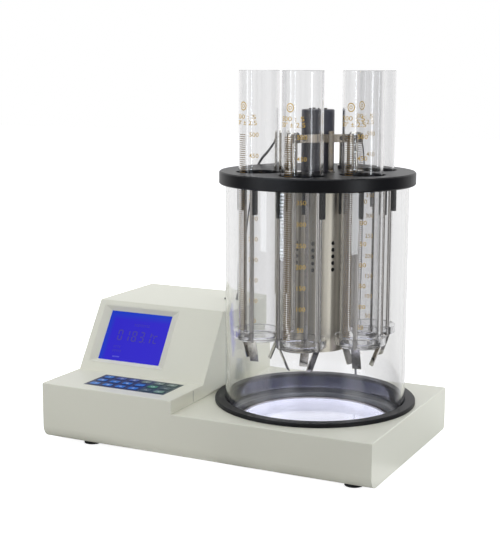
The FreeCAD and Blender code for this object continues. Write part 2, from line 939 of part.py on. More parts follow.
def fuse_cap():
    """Slotted cap with a stem that holds the fuse."""
    seat = rear + fuse_flange_thickness + running_gap
    face = rear + rear_reach
    cap = rear_rod(fuse_cap_radius, fuse_from_left, outlet_z, seat, face)
    stem = rear_rod(fuse_stem_radius, fuse_from_left, outlet_z,
                    rear + fuse_flange_thickness - fuse_stem_length, seat + running_gap)
    x = left + fuse_from_left
    slot = box(x - fuse_cap_radius, face - fuse_slot_depth, outlet_z - fuse_slot_width / 2,
               x + fuse_cap_radius, face + overrun, outlet_z + fuse_slot_width / 2)
    save("fuse_cap", cap.fuse(stem).cut(slot))


# Bath


def bath_ring():
    """Black flange ring round the jar's foot, over the well's rim."""
    top = plateau_z + ring_thickness
    inner = jar_radius + rim_gap
    profile = [(inner, plateau_z + well_sheet), (well_flange_radius + slip_gap, plateau_z + well_sheet),
               (well_flange_radius + slip_gap, plateau_z), (ring_radius, plateau_z),
               (ring_radius, top - ring_bevel), (ring_radius - ring_bevel, top), (inner, top)]
    save("bath_ring", turned(profile, bath))


def bath_well():
    """Pressed cup with a rim on the plateau and a round window in its floor."""
    outer = well_radius + well_sheet
    floor = well_floor_z - well_sheet
    profile = [(window_radius, floor), (outer, floor), (outer, plateau_z),
               (well_flange_radius, plateau_z), (well_flange_radius, plateau_z + well_sheet),
               (well_radius, plateau_z + well_sheet), (well_radius, well_floor_z),
               (window_radius, well_floor_z)]
    save("bath_well", turned(profile, bath))


def jar_cushion():
    """Soft ring between the well's floor and the jar."""
    save("jar_cushion", tube(cushion_radius, window_radius, well_floor_z, jar_z, bath))


def light_diffuser():
    """Opal disc under the window in the well's floor."""
    floor = well_floor_z - well_sheet
    save("light_diffuser", rod(diffuser_radius, floor - diffuser_thickness, floor, bath))


def light_board():
    """Round lamp board with rings of lamps, and stand-offs that carry the diffuser."""
    top = floor_z + lamp_standoff
    pieces = [rod(lamp_radius, top - board_thickness, top, bath)]
    under = well_floor_z - well_sheet - diffuser_thickness
    for index in range(lamp_standoff_count):
        place = polar(lamp_radius * lamp_standoff_share, index * 360 / lamp_standoff_count, bath)
        pieces.append(rod(lamp_standoff_radius, floor_z, under, place))
    for share in lamp_ring_shares:
        for index in range(lamp_ring_count):
            angle = (index + share) * 360 / lamp_ring_count
            place = polar(lamp_radius * share, angle, bath)
            pieces.append(lens_box(lamp_size, lamp_size, top - board_thickness / 2,
                                   top + lamp_height, place))
    save("light_board", joined(pieces))


def bath_jar():
    """Glass jar with rounded lower corners."""
    outer = rod(jar_radius, jar_z, jar_top_z, bath)
    inner = rod(jar_radius - jar_wall, jar_z + jar_floor, jar_top_z + overrun, bath)
    outer = outer.makeFillet(jar_corner, edges_where(outer, lambda p: near(p.z, jar_z)))
    low = edges_where(inner, lambda p: near(p.z, jar_z + jar_floor))
    inner = inner.makeFillet(jar_corner - jar_wall, low)
    save("bath_jar", outer.cut(inner))


# Lid and its equipment


def holder_angle(index):
    """Direction of a holder from the bath's axis."""
    return first_holder_angle + place_step_angle * index


def holder_place(index):
    """Centre of a holder."""
    return polar(holder_circle, holder_angle(index), bath)


def rod_angle(step):
    """Direction of a gap between two holders."""
    return first_holder_angle + place_step_angle * (step + heater_place_share)


def heater_angles():
    """Directions of the two hairpin heaters."""
    return [rod_angle(0), rod_angle(heater_step_count)]


def sensor_angle():
    """Direction of the bath probe."""
    return rod_angle(-1)


def limit_angle():
    """Direction of the limit probe."""
    return rod_angle(heater_step_count + 1)


def leg_places(angle):
    """Centres of a hairpin's two legs."""
    middle = polar(rod_circle, angle, bath)
    return [polar(leg_spread, angle + 90, middle), polar(leg_spread, angle - 90, middle)]


def lid():
    """Thick black disc with four holes, a groove for the jar's rim and a socket for the tube."""
    disc = turned([(0, lid_z), (lid_radius - lid_bevel, lid_z), (lid_radius, lid_z + lid_bevel),
                   (lid_radius, lid_top_z - lid_bevel), (lid_radius - lid_bevel, lid_top_z),
                   (0, lid_top_z)], bath)
    groove_top = jar_top_z + seal_thickness
    groove = tube(jar_radius + rim_gap, jar_radius - jar_wall - rim_gap, lid_z, groove_top, bath)
    spare = tube(jar_radius + rim_gap, jar_radius - jar_wall - rim_gap, lid_z - overrun,
                 lid_z + overrun / 2, bath)
    socket = tube(guard_radius + slip_gap, guard_radius - guard_wall - slip_gap,
                  lid_z - overrun, lid_z + guard_socket, bath)
    cuts = [groove.fuse(spare), socket]
    for index in range(holder_count):
        hole = turned([(0, lid_z - overrun), (lid_hole_radius, lid_z - overrun),
                       (lid_hole_radius, lid_top_z - lid_hole_bevel),
                       (lid_hole_radius + lid_hole_bevel + overrun, lid_top_z + overrun),
                       (0, lid_top_z + overrun)], holder_place(index))
        cuts.append(hole)
    through = (lid_z - overrun, lid_top_z + overrun)
    cuts.append(rod(bush_radius, *through, bath))
    for angle in heater_angles():
        for place in leg_places(angle):
            cuts.append(rod(leg_radius + slip_gap, *through, place))
    for angle in (sensor_angle(), limit_angle()):
        cuts.append(rod(probe_head_radius + slip_gap, *through, polar(rod_circle, angle, bath)))
    shape = disc
    for cut in cuts:
        shape = shape.cut(cut)
    save("lid", shape)


def lid_seal():
    """Flat ring in the lid's groove, over the jar's rim."""
    ring = tube(jar_radius + rim_gap - slip_gap, jar_radius - jar_wall - rim_gap + slip_gap,
                jar_top_z, jar_top_z + seal_thickness, bath)
    save("lid_seal", ring)


def shaft_bush():
    """Flanged bush for the stirrer shaft in the lid."""
    inner = shaft_radius + running_gap
    profile = [(inner, lid_z), (bush_radius, lid_z), (bush_radius, lid_top_z),
               (bush_flange_radius, lid_top_z), (bush_flange_radius, lid_top_z + bush_flange_thickness),
               (inner, lid_top_z + bush_flange_thickness)]
    save("shaft_bush", turned(profile, bath))


def motor_core_z():
    """Underside of the motor inside its cover."""
    return lid_top_z + bush_flange_thickness + seat_gap


def motor_cover():
    """Black cover over the motor, open below."""
    top = lid_top_z + motor_height
    outer = turned([(0, lid_top_z), (motor_radius, lid_top_z), (motor_radius, top - motor_cap_bevel),
                    (motor_radius - motor_cap_bevel, top), (0, top)], bath)
    inner = rod(motor_radius - motor_wall, lid_top_z - overrun, top - motor_wall, bath)
    shape = outer.cut(inner)
    for place in motor_screw_places():
        shape = shape.cut(rod(screw_radius + slip_gap, top - motor_wall - overrun, top + overrun, place))
    save("motor_cover", shape)


def motor_screw_places():
    """Screws in the motor's top."""
    step = 360 / motor_screw_count
    return [polar(motor_radius * motor_screw_share, step * index, bath)
            for index in range(motor_screw_count)]


def motor_body():
    """Motor can inside the cover, with a blind bore for the shaft."""
    low = motor_core_z()
    high = lid_top_z + motor_height - motor_wall - motor_core_top_gap
    can = rod(motor_core_radius, low, high, bath)
    pad = rod(motor_core_radius / 2, high - overrun, high + motor_core_top_gap, bath)
    feet_ring = tube(motor_radius - motor_wall - slip_gap, motor_core_radius - overrun, low,
                     low + motor_wall, bath)
    bore = rod(shaft_radius + running_gap, low - overrun, low + shaft_into_motor + seat_gap, bath)
    shape = joined([can, pad, feet_ring]).cut(bore)
    for place in motor_screw_places():
        shape = shape.cut(rod(screw_radius + slip_gap, high - screw_tail - overrun, high + overrun, place))
    save("motor_body", shape)


def motor_screws():
    """Screws that join the cover's top to the motor."""
    top = lid_top_z + motor_height
    low = top - motor_wall - motor_core_top_gap - screw_tail
    solids = []
    for place in motor_screw_places():
        head = rod(screw_head_radius, top, top + screw_head_height, place)
        shank = rod(screw_radius, low, top + screw_head_height / 2, place)
        solids.append(joined([head, shank]))
    save("motor_screws", group(solids))


def shaft_low_z():
    """Lower end of the stirrer shaft."""
    return lid_z - shaft_below_lid


def stirrer_shaft():
    """Plain shaft from the motor down into the guard tube."""
    save("stirrer_shaft", rod(shaft_radius, shaft_low_z(), motor_core_z() + shaft_into_motor, bath))


def stirrer_impeller():
    """Hub on the shaft with pitched blades."""
    low = shaft_low_z() + impeller_rise
    hub = rod(hub_radius, low, low + hub_length, bath)
    middle = low + hub_length / 2
    blades = []
    for index in range(blade_count):
        blade = box(0, -blade_thickness / 2, -blade_width / 2, blade_reach, blade_thickness / 2,
                    blade_width / 2)
        blade.rotate(V(0, 0, 0), V(1, 0, 0), blade_pitch_angle)
        blade.rotate(V(0, 0, 0), V(0, 0, 1), index * 360 / blade_count)
        blade.translate(V(bath.x, bath.y, middle))
        blades.append(blade)
    bore = rod(shaft_radius, low - blade_width, low + hub_length + blade_width, bath)
    save("stirrer_impeller", joined([hub] + blades).cut(bore))


def guard_tube():
    """Perforated tube round the stirrer, let into the lid."""
    low = lid_z - guard_below_lid
    shape = tube(guard_radius, guard_radius - guard_wall, low, lid_z + guard_socket - seat_gap, bath)
    holes = []
    for column in range(guard_column_count):
        angle = guard_column_angle + column * 360 / guard_column_count
        for row in range(guard_row_count):
            z = lid_z - guard_first_row_below_lid - guard_row_pitch * row
            start = polar(guard_radius - guard_wall - overrun, angle, bath)
            way = polar(1, angle)
            holes.append(Part.makeCylinder(guard_hole_radius, guard_wall + overrun * 2,
                                           V(start.x, start.y, z), way))
    save("guard_tube", shape.cut(group(holes)))


def hairpin(angle):
    """Hairpin heater: two legs through the lid, a bend below and one cap over both ends."""
    places = leg_places(angle)
    top = lid_top_z + leg_above_lid
    low = lid_z - leg_below_lid
    a, b = (V(p.x, p.y, low) for p in places)
    middle = (a + b) / 2
    section = Part.Face(Part.Wire([Part.makeCircle(leg_radius, a, V(0, 0, 1))]))
    bend = section.revolve(middle, (b - a).cross(V(0, 0, 1)), 180)
    if bend.BoundBox.ZMax > low + overrun:
        bend = section.revolve(middle, (a - b).cross(V(0, 0, 1)), 180)
    legs = [rod(leg_radius, low, top, place) for place in places]
    centre = V(middle.x, middle.y, 0)
    cap = turned([(0, top), (terminal_radius, top),
                  (terminal_radius, top + terminal_height - terminal_dome),
                  (terminal_radius - terminal_dome, top + terminal_height),
                  (0, top + terminal_height)], centre)
    return joined(legs + [bend, cap])


def heaters():
    """The two hairpin heaters; the second has the boot of its cord."""
    first, second = heater_angles()
    save("heater_1", hairpin(first))
    save("heater_2", hairpin(second))


def boot(tip, way, radius, length):
    """Short tapered sleeve that ends at a point and looks along a direction."""
    sleeve = turned([(0, 0), (boot_radius, 0), (boot_radius, length * boot_root_share),
                     (radius * boot_tip_share, length), (0, length)])
    sleeve.rotate(V(0, 0, 0), V(0, 1, 0), math.degrees(math.acos(way.z)))
    sleeve.rotate(V(0, 0, 0), V(0, 0, 1), math.degrees(math.atan2(way.y, way.x)))
    sleeve.translate(tip - way * length)
    return sleeve


def heater_cord_start():
    """Outer end of the boot on the second heater's cap, and its direction."""
    centre = polar(rod_circle, heater_angles()[1], bath)
    way = V(*heater_boot_way_shares).normalize()
    z = lid_top_z + leg_above_lid + terminal_height / 2
    tip = V(centre.x, centre.y, z) + way * (terminal_radius + bridge_collar + boot_length)
    return tip, way


def sensor_cord_start():
    """Outer end of the boot on the bath probe's head, and its direction."""
    centre = polar(rod_circle, sensor_angle(), bath)
    way = V(*sensor_boot_way_shares).normalize()
    z = lid_top_z + probe_above_lid - boot_below_top
    tip = V(centre.x, centre.y, z) + way * (probe_head_radius + boot_length)
    return tip, way


def cord_boots():
    """Black boots where the two cords leave the lid's equipment."""
    solids = []
    collar = terminal_radius + bridge_collar
    for (tip, way), radius, core in ((sensor_cord_start(), sensor_cord_radius, probe_head_radius),
                                     (heater_cord_start(), heater_cord_radius, collar)):
        sleeve = boot(tip, way, radius, boot_length + overrun)
        centre = tip - way * (core + boot_length)
        body = rod(core, centre.z - boot_length, centre.z + boot_length, centre)
        solids.append(sleeve.cut(body))
    save("cord_boots", group(solids))


def probe(angle, above, below):
    """Probe: a thin stem in the bath and a thicker domed head above the lid."""
    top = lid_top_z + above
    low = lid_z - below
    dome = probe_head_radius / 2
    return turned([(0, low), (probe_radius, low), (probe_radius, lid_z),
                   (probe_head_radius, lid_z), (probe_head_radius, top - dome),
                   (probe_head_radius - dome, top), (0, top)], polar(rod_circle, angle, bath))


def probes():
    """The bath probe and the limit probe."""
    save("bath_sensor", probe(sensor_angle(), probe_above_lid, probe_below_lid))
    save("limit_sensor", probe(limit_angle(), limit_above_lid, limit_below_lid))


def hexagon(radius, z0, z1, centre, bore):
    """Six-sided nut."""
    corners = [polar(radius, index * 360 / nut_sides, centre) for index in range(nut_sides)]
    corners = [V(p.x, p.y, z0) for p in corners]
    face = Part.Face(Part.makePolygon(corners + corners[:1]))
    return face.extrude(V(0, 0, z1 - z0)).cut(rod(bore, z0 - overrun, z1 + overrun, centre))


def lid_glands():
    """Nuts round the probes and round plates at the heaters, on top of the lid."""
    solids = []
    for angle in (sensor_angle(), limit_angle()):
        centre = polar(rod_circle, angle, bath)
        solids.append(hexagon(nut_radius, lid_top_z, lid_top_z + nut_height, centre,
                              probe_head_radius + slip_gap))
    for angle in heater_angles():
        centre = polar(rod_circle, angle, bath)
        plate = rod(plate_radius, lid_top_z, lid_top_z + lid_plate_thickness, centre)
        for place in leg_places(angle):
            plate = plate.cut(rod(leg_radius + slip_gap, lid_top_z - overrun,
                                  lid_top_z + lid_plate_thickness + overrun, place))
        motor = rod(motor_radius + slip_gap, lid_top_z - overrun, lid_top_z + motor_height, bath)
        solids.append(plate.cut(motor))
    save("lid_glands", group(solids))


def bridge_ends():
    """Centres of the two heater caps that the bar joins."""
    return [polar(rod_circle, angle, bath) for angle in heater_angles()]


def bridge_frame():
    """Start of the bar, its direction and its length."""
    a, b = bridge_ends()
    way = b - a
    return a, V(way.x, way.y, 0).normalize(), way.Length


def bridge_z():
    """Underside of the bar."""
    return lid_top_z + leg_above_lid + terminal_height - bridge_below_top - bridge_height


def along_bridge(shape):
    """Copy of a shape drawn along X, laid along the bar."""
    start, way, length = bridge_frame()
    copy = shape.copy()
    copy.rotate(V(0, 0, 0), V(0, 0, 1), math.degrees(math.atan2(way.y, way.x)))
    copy.translate(V(start.x, start.y, 0))
    return copy


def heater_bridge():
    """Flat bar in front of the motor with a collar round each heater cap."""
    start, way, length = bridge_frame()
    z0 = bridge_z()
    z1 = z0 + bridge_height
    bar = along_bridge(box(terminal_radius, -bridge_thickness / 2, z0,
                           length - terminal_radius, bridge_thickness / 2, z1))
    pieces = [bar]
    cores = []
    for centre in bridge_ends():
        pieces.append(rod(terminal_radius + bridge_collar, z0, z1, centre))
        cores.append(rod(terminal_radius + slip_gap, z0 - overrun, z1 + overrun, centre))
    shape = joined(pieces)
    for core in cores:
        shape = shape.cut(core)
    save("heater_bridge", shape)


def bridge_post():
    """Flat stay between the lid and the bar, in front of it, with a bent foot."""
    start, way, length = bridge_frame()
    x = length * post_share
    face = -bridge_thickness / 2
    top = bridge_z() + bridge_height + post_above_bridge
    stay = box(x - post_width / 2, face - post_thickness, lid_top_z, x + post_width / 2, face, top)
    foot = box(x - post_width / 2, face - post_foot_length, lid_top_z, x + post_width / 2, face,
               lid_top_z + post_thickness)
    save("bridge_post", along_bridge(joined([stay, foot])))


def bridge_screws():
    """Screws on the front of the bar."""
    start, way, length = bridge_frame()
    z = bridge_z() + bridge_height / 2
    solids = []
    for share in bridge_screw_shares:
        head = Part.makeCylinder(screw_head_radius, bridge_screw_head,
                                 V(length * share, -bridge_thickness / 2, z), V(0, -1, 0))
        solids.append(along_bridge(head))
    save("bridge_screws", group(solids))


# Holders and cylinders


def bend_z():
    """Height where the tabs start to lean in, so that they touch the cylinder's corner."""
    lean = math.atan2(tab_run, tab_drop)
    reach = cylinder_radius - cylinder_corner + (cylinder_corner + seat_gap) / math.cos(lean)
    return cylinder_z + cylinder_corner + (holder_face - reach) * tab_drop / tab_run


def hanger_angles(index):
    """Directions of a holder's three hangers from its centre."""
    step = 360 / hanger_count
    return [holder_angle(index) + hanger_turn_angle + step * k for k in range(hanger_count)]


def hanger_bar():
    """Upright bar with rounded outer edges, at angle zero about the origin."""
    face = holder_face + hanger_thickness
    bar = box(holder_face, -hanger_width / 2, bend_z() - hanger_below_bend, face,
              hanger_width / 2, lid_z - hanger_top_gap)
    corners = edges_where(bar, lambda p: near(p.x, face) and near(abs(p.y), hanger_width / 2))
    return bar.makeFillet(hanger_edge, corners)


def hanger():
    """One hanger at angle zero about the origin: a bar with a wider tab that leans in."""
    bend = bend_z()
    outer = holder_face + tab_thickness
    lean = math.atan2(tab_run, tab_drop)
    shift = tab_thickness * math.tan(lean / 2)
    slant = tab_thickness / math.cos(lean)
    end = holder_face - tab_run
    low = bend - tab_drop
    points = [(holder_face, bend), (end, low), (end + slant, low), (outer, bend - shift),
              (outer, bend)]
    corners = [V(r, -tab_width / 2, z) for r, z in points]
    face = Part.Face(Part.makePolygon(corners + corners[:1]))
    return joined([hanger_bar(), face.extrude(V(0, tab_width, 0))])


def ring_z():
    """Underside of a clear ring, which rests on the tabs."""
    return bend_z()


def hanger_slot():
    """Room for a hanger in a clear ring."""
    return box(holder_face - slip_gap, -hanger_width / 2 - slip_gap, ring_z() - overrun,
               holder_face + hanger_thickness + slip_gap, hanger_width / 2 + slip_gap,
               ring_z() + clear_ring_height + overrun)


def hanger_block():
    """Block beside a hanger's upper end, at angle zero about the origin."""
    start = hanger_width / 2 - block_overlap
    block = box(holder_face, start, lid_z - block_height, holder_face + block_depth,
                start + block_width, lid_z)
    return block.cut(hanger_bar())


def holders():
    """Hangers and clear ring of each holder, and all hanger blocks."""
    master = hanger()
    block = hanger_block()
    blocks = []
    for index in range(holder_count):
        centre = holder_place(index)
        hangers = [moved(turned_to(master, angle), centre) for angle in hanger_angles(index)]
        save(f"holder_hangers_{index + 1}", group(hangers))
        ring = tube(clear_ring_radius, clear_ring_bore, ring_z(), ring_z() + clear_ring_height,
                    centre)
        for angle in hanger_angles(index):
            ring = ring.cut(moved(turned_to(hanger_slot(), angle), centre))
            blocks.append(moved(turned_to(block, angle), centre))
        save(f"holder_ring_{index + 1}", ring)
    save("holder_blocks", group(blocks))


def measuring_cylinder(centre):
    """Footless glass cylinder with a thick floor."""
    top = cylinder_z + cylinder_length
    outer = rod(cylinder_radius, cylinder_z, top, centre)
    inner = rod(cylinder_radius - cylinder_wall, cylinder_z + cylinder_floor, top + overrun, centre)
    low = edges_where(outer, lambda p: near(p.z, cylinder_z))
    outer = outer.makeFillet(cylinder_corner, low)
    deep = edges_where(inner, lambda p: near(p.z, cylinder_z + cylinder_floor))
    inner = inner.makeFillet(cylinder_corner, deep)
    return outer.cut(inner)


def cylinders():
    """The four measuring cylinders."""
    for index in range(holder_count):
        save(f"cylinder_{index + 1}", measuring_cylinder(holder_place(index)))


# Cords


def console_gland():
    """Round gland on top of the console."""
    centre = V(left + console_gland_from_left, front + console_gland_setback, 0)
    z1 = console_z + gland_flange_height
    z2 = z1 + gland_body_height
    z3 = z2 + gland_boot_height
    tail = console_z - sheet - gland_flange_height
    profile = [(0, tail), (gland_radius, tail), (gland_radius, console_z),
               (gland_flange_radius, console_z), (gland_flange_radius, z1), (gland_radius, z1),
               (gland_radius, z2), (sensor_cord_radius * 2, z3), (0, z3)]
    save("console_gland", turned(profile, centre))


def rear_gland():
    """The same gland in the rear wall, for the heater's cord."""
    z1 = gland_flange_height
    z2 = z1 + gland_body_height
    z3 = z2 + gland_boot_height
    tail = -sheet - gland_flange_height
    profile = [(0, tail), (gland_radius, tail), (gland_radius, 0), (gland_flange_radius, 0),
               (gland_flange_radius, z1), (gland_radius, z1), (gland_radius, z2),
               (heater_cord_radius * 2, z3), (0, z3)]
    shape = turned(profile)
    shape.rotate(V(0, 0, 0), V(1, 0, 0), -90)
    shape.translate(V(left + rear_gland_from_left, rear, rear_gland_height))
    save("rear_gland", shape)


# Routes of the two cords, as chosen by hand, from the lid's equipment down to the glands. The
# boots' and glands' own ends, and a first and last run in line with them, are added to these.
sensor_route = [(7.7, 43.8, 396.2), (-8.0, 61.0, 389.0), (-24.5, 75.5, 375.5),
                (-40.5, 81.5, 346.0), (-53.5, 83.0, 313.5), (-63.0, 83.4, 282.0),
                (-69.0, 83.7, 252.0), (-71.9, 83.9, 226.0)]
heater_route = [(127.0, 66.0, 424.0), (121.0, 92.0, 417.5), (116.0, 118.0, 403.0),
                (110.5, 138.0, 381.0), (106.0, 149.0, 350.0), (103.5, 154.0, 313.0),
                (102.5, 156.5, 273.0), (101.5, 158.0, 231.0), (98.5, 160.0, 188.0),
                (95.0, 164.0, 146.0), (94.0, 170.5, 107.0), (94.1, 175.5, 78.0),
                (94.4, 177.0, 60.0), (94.7, 176.3, 47.8), (94.9, 171.2, 39.0)]


def cord_path(points):
    """Straight runs joined by tangent arcs, the path's length and its arc radii."""
    edges = []
    radii = []
    start = points[0]
    for before, corner, after in zip(points, points[1:], points[2:]):
        back = (before - corner)
        ahead = (after - corner)
        shorter = min(back.Length, ahead.Length)
        turn = math.pi - back.getAngle(ahead)
        reach = shorter * arc_share
        radius = reach / math.tan(turn / 2)
        radii.append(radius)
        u = V(back).normalize()
        w = V(ahead).normalize()
        first = corner + u * reach
        last = corner + w * reach
        bisector = (u + w).normalize()
        middle = corner + bisector * (math.hypot(radius, reach) - radius)
        edges.append(Part.LineSegment(start, first).toShape())
        edges.append(Part.Arc(first, middle, last).toShape())
        start = last
    edges.append(Part.LineSegment(start, points[-1]).toShape())
    return Part.Wire(edges), radii


def cord_solid(name, route, radius):
    """Round cord along its route, with its volume compared with section times length."""
    points = [V(*p) for p in route]
    wire, radii = cord_path(points)
    way = (points[1] - points[0]).normalize()
    section = Part.Wire([Part.makeCircle(radius, points[0], way)])
    solid = wire.makePipeShell([section], True, False)
    ratio = solid.Volume / (math.pi * radius * radius * wire.Length)
    runs = [(b - a).Length for a, b in zip(points, points[1:])]
    print(f"{name}: length {wire.Length:.1f}, volume ratio {ratio:.4f}")
    print("  runs " + " ".join(f"{r:.1f}" for r in runs))
    print("  radii " + " ".join(f"{r:.1f}" for r in radii))
    save(name, solid)


def cords():
    """The two cords between the lid's equipment and the base."""
    sensor_tip, sensor_way = sensor_cord_start()
    heater_tip, heater_way = heater_cord_start()
    gland_top = console_z + gland_flange_height + gland_body_height + gland_boot_height
    console_end = V(left + console_gland_from_left, front + console_gland_setback, gland_top)
    reach = gland_flange_height + gland_body_height + gland_boot_height
    rear_end = V(left + rear_gland_from_left, rear + reach, rear_gland_height)
    sensor_start = [sensor_tip, sensor_tip + sensor_way * boot_run]
    heater_start = [heater_tip, heater_tip + heater_way * boot_run]
    sensor_finish = [console_end + V(0, 0, gland_run), console_end]
    heater_finish = [rear_end + V(0, rear_gland_run, 0), rear_end]
    cord_solid("sensor_cord", sensor_start + sensor_route + sensor_finish, sensor_cord_radius)
    cord_solid("heater_cord", heater_start + heater_route + heater_finish, heater_cord_radius)


def main():
    """Build and write every node."""
    os.makedirs("parts", exist_ok=True)
    for build in (base_housing, bottom_plate, feet, base_screws, console_cover, console_screws,
                  display_bezel, display_glass, display_board, keypad_overlay, keypad_board,
                  control_board, power_supply, heater_relay, mains_inlet, switch_frame,
                  switch_rocker, fuse_body, fuse_cap, bath_ring, bath_well, jar_cushion,
                  light_diffuser, light_board, bath_jar, lid, lid_seal, shaft_bush, motor_cover,
                  motor_body, motor_screws, stirrer_shaft, stirrer_impeller, guard_tube, heaters,
                  cord_boots, probes, lid_glands, heater_bridge, bridge_post, bridge_screws,
                  holders, cylinders, console_gland, rear_gland, cords):
        build()
    print(f"{len(saved)} nodes")


main()
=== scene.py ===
"""Looks for a benchtop density meter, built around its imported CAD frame."""

import logging
import math
from abc import ABC, abstractmethod
from dataclasses import dataclass, field
from enum import Enum

import bmesh
import bpy
from mathutils import Matrix, Vector


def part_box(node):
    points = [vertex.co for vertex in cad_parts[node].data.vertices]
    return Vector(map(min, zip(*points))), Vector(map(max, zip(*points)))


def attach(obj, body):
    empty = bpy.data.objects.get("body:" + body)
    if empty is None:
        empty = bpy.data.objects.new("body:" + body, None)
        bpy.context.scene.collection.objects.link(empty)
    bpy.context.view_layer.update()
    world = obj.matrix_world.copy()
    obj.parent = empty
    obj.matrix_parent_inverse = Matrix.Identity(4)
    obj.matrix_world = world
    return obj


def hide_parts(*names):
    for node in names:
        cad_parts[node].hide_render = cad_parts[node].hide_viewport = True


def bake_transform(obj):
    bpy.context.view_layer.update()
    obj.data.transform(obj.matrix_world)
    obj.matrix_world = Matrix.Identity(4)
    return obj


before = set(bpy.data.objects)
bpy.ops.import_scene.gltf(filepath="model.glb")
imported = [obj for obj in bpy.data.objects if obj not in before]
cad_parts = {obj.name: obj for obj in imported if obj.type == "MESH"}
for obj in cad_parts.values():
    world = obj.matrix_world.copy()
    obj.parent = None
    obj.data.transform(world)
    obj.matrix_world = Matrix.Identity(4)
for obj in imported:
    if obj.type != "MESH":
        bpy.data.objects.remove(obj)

log = logging.getLogger("density_meter")

MM = 0.001
Colour = tuple[float, float, float, float]
Point = tuple[float, float, float]
Pair = tuple[float, float]
Socket = bpy.types.NodeSocket
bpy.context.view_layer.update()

VIEW_TURN = 26.32
BATH_AXIS: Pair = (99.7, 3.3)
BATH_CENTRE: Pair = (BATH_AXIS[0] * MM, BATH_AXIS[1] * MM)
PLATEAU_Z = 67.7
DECK_Z = 85.7
WELD = 1e-6


def srgb(red: float, green: float, blue: float) -> Colour:
    """Turns an 8-bit screen colour into a linear one.

    Args:
        red: Red from 0 to 255.
        green: Green from 0 to 255.
        blue: Blue from 0 to 255.

    Returns:
        The linear colour with full alpha.
    """
    def linear(value: float) -> float:
        """One channel, from screen to linear."""
        share = value / 255
        return share / 12.92 if share <= 0.04045 else ((share + 0.055) / 1.055) ** 2.4

    return linear(red), linear(green), linear(blue), 1.0


# Node trees


class Blend(Enum):
    """How two colours are mixed."""

    MIX = "MIX"
    MULTIPLY = "MULTIPLY"


class Graph:
    """Adds and links the nodes of one tree."""

    def __init__(self, tree: bpy.types.NodeTree) -> None:
        """Keeps the tree."""
        self.tree = tree

    def add(self, kind: str, inputs: dict | None = None, **settings: object) -> bpy.types.Node:
        """Adds a node.

        Args:
            kind: The node's type name.
            inputs: A value or an output socket for each named or numbered input.
            settings: The node's own properties, set before its inputs.

        Returns:
            The new node.
        """
        node = self.tree.nodes.new(kind)
        for name, value in settings.items():
            setattr(node, name, value)
        for key, value in (inputs or {}).items():
            if isinstance(value, Socket):
                self.tree.links.new(value, node.inputs[key])
            else:
                node.inputs[key].default_value = value
        return node

    def math(self, operation: str, first: object, second: object = 0.0,
             clamp: bool = False) -> Socket:
        """Adds a math node and returns its output."""
        return self.add("ShaderNodeMath", {0: first, 1: second}, operation=operation,
                        use_clamp=clamp).outputs[0]

    def mix(self, factor: object, first: object, second: object,
            blend: Blend = Blend.MIX) -> Socket:
        """Adds a colour mix and returns its output."""
        return self.add("ShaderNodeMix", {0: factor, 6: first, 7: second}, data_type="RGBA",
                        blend_type=blend.value).outputs[2]

    def dimmed(self, colour: object, level: Socket) -> Socket:
        """Multiplies a colour by a plain level and returns the result."""
        grey = self.add("ShaderNodeCombineColor", {0: level, 1: level, 2: level}).outputs[0]
        return self.mix(1.0, colour, grey, Blend.MULTIPLY)

    def dot(self, where: Socket, direction: Point) -> Socket:
        """Adds a dot product with a fixed direction and returns its value."""
        return self.add("ShaderNodeVectorMath", {0: where, 1: direction},
                        operation="DOT_PRODUCT").outputs["Value"]

    def split(self, vector: Socket) -> tuple[Socket, ...]:
        """Splits a vector and returns its three values."""
        return tuple(self.add("ShaderNodeSeparateXYZ", {0: vector}).outputs)

    def place(self, scale: Point = (1, 1, 1), shift: Point = (0, 0, 0)) -> Socket:
        """Adds object coordinates through a mapping and returns them."""
        where = self.add("ShaderNodeTexCoord").outputs["Object"]
        return self.add("ShaderNodeMapping", {"Vector": where, "Location": shift,
                                              "Scale": scale}).outputs[0]

    def away(self, centre: Pair, upright: float = 0.0) -> Socket:
        """Measures how far a point is from a vertical axis.

        Args:
            centre: The axis's x and y in metres.
            upright: How much height counts too, from 0 for none to 1 for all of it.

        Returns:
            The distance in metres.
        """
        apart = self.place(scale=(1, 1, upright), shift=(-centre[0], -centre[1], 0))
        return self.add("ShaderNodeVectorMath", {0: apart}, operation="LENGTH").outputs[1]

    def noise(self, where: object, scale: object, detail: float = 3.0,
              rough: float = 0.5) -> Socket:
        """Adds a noise texture and returns its value."""
        return self.add("ShaderNodeTexNoise", {"Vector": where, "Scale": scale, "Detail": detail,
                                               "Roughness": rough}).outputs["Fac"]

    def greys(self, factor: object, stops: list[Pair]) -> Socket:
        """Adds a ramp of greys.

        Args:
            factor: What the ramp reads.
            stops: Place from 0 to 1 and level of each stop, in order.

        Returns:
            The ramp's colour.
        """
        node = self.add("ShaderNodeValToRGB", {0: factor})
        elements = node.color_ramp.elements
        while len(elements) < len(stops):
            elements.new(0.5)
        for element, (position, level) in zip(elements, stops):
            element.position = position
            element.color = (level, level, level, 1)
        return node.outputs[0]

    def remap(self, value: object, low: float, high: float, new_low: float,
              new_high: float) -> Socket:
        """Adds a map range node and returns its value."""
        return self.add("ShaderNodeMapRange", {0: value, 1: low, 2: high, 3: new_low,
                                               4: new_high}).outputs[0]

    def bump(self, height: Socket, strength: float, depth: float) -> Socket:
        """Adds a bump node and returns its normal."""
        return self.add("ShaderNodeBump", {"Height": height, "Strength": strength,
                                           "Distance": depth}).outputs[0]

    def principled(self, inputs: dict) -> Socket:
        """Adds a Principled shader and returns it."""
        return self.add("ShaderNodeBsdfPrincipled", inputs).outputs[0]

    def mirrored(self) -> Socket:
        """Tells whether a ray has been mirrored or has gone through glass."""
        path = self.add("ShaderNodeLightPath").outputs
        return self.math("MAXIMUM", path["Is Glossy Ray"], path["Is Transmission Ray"])


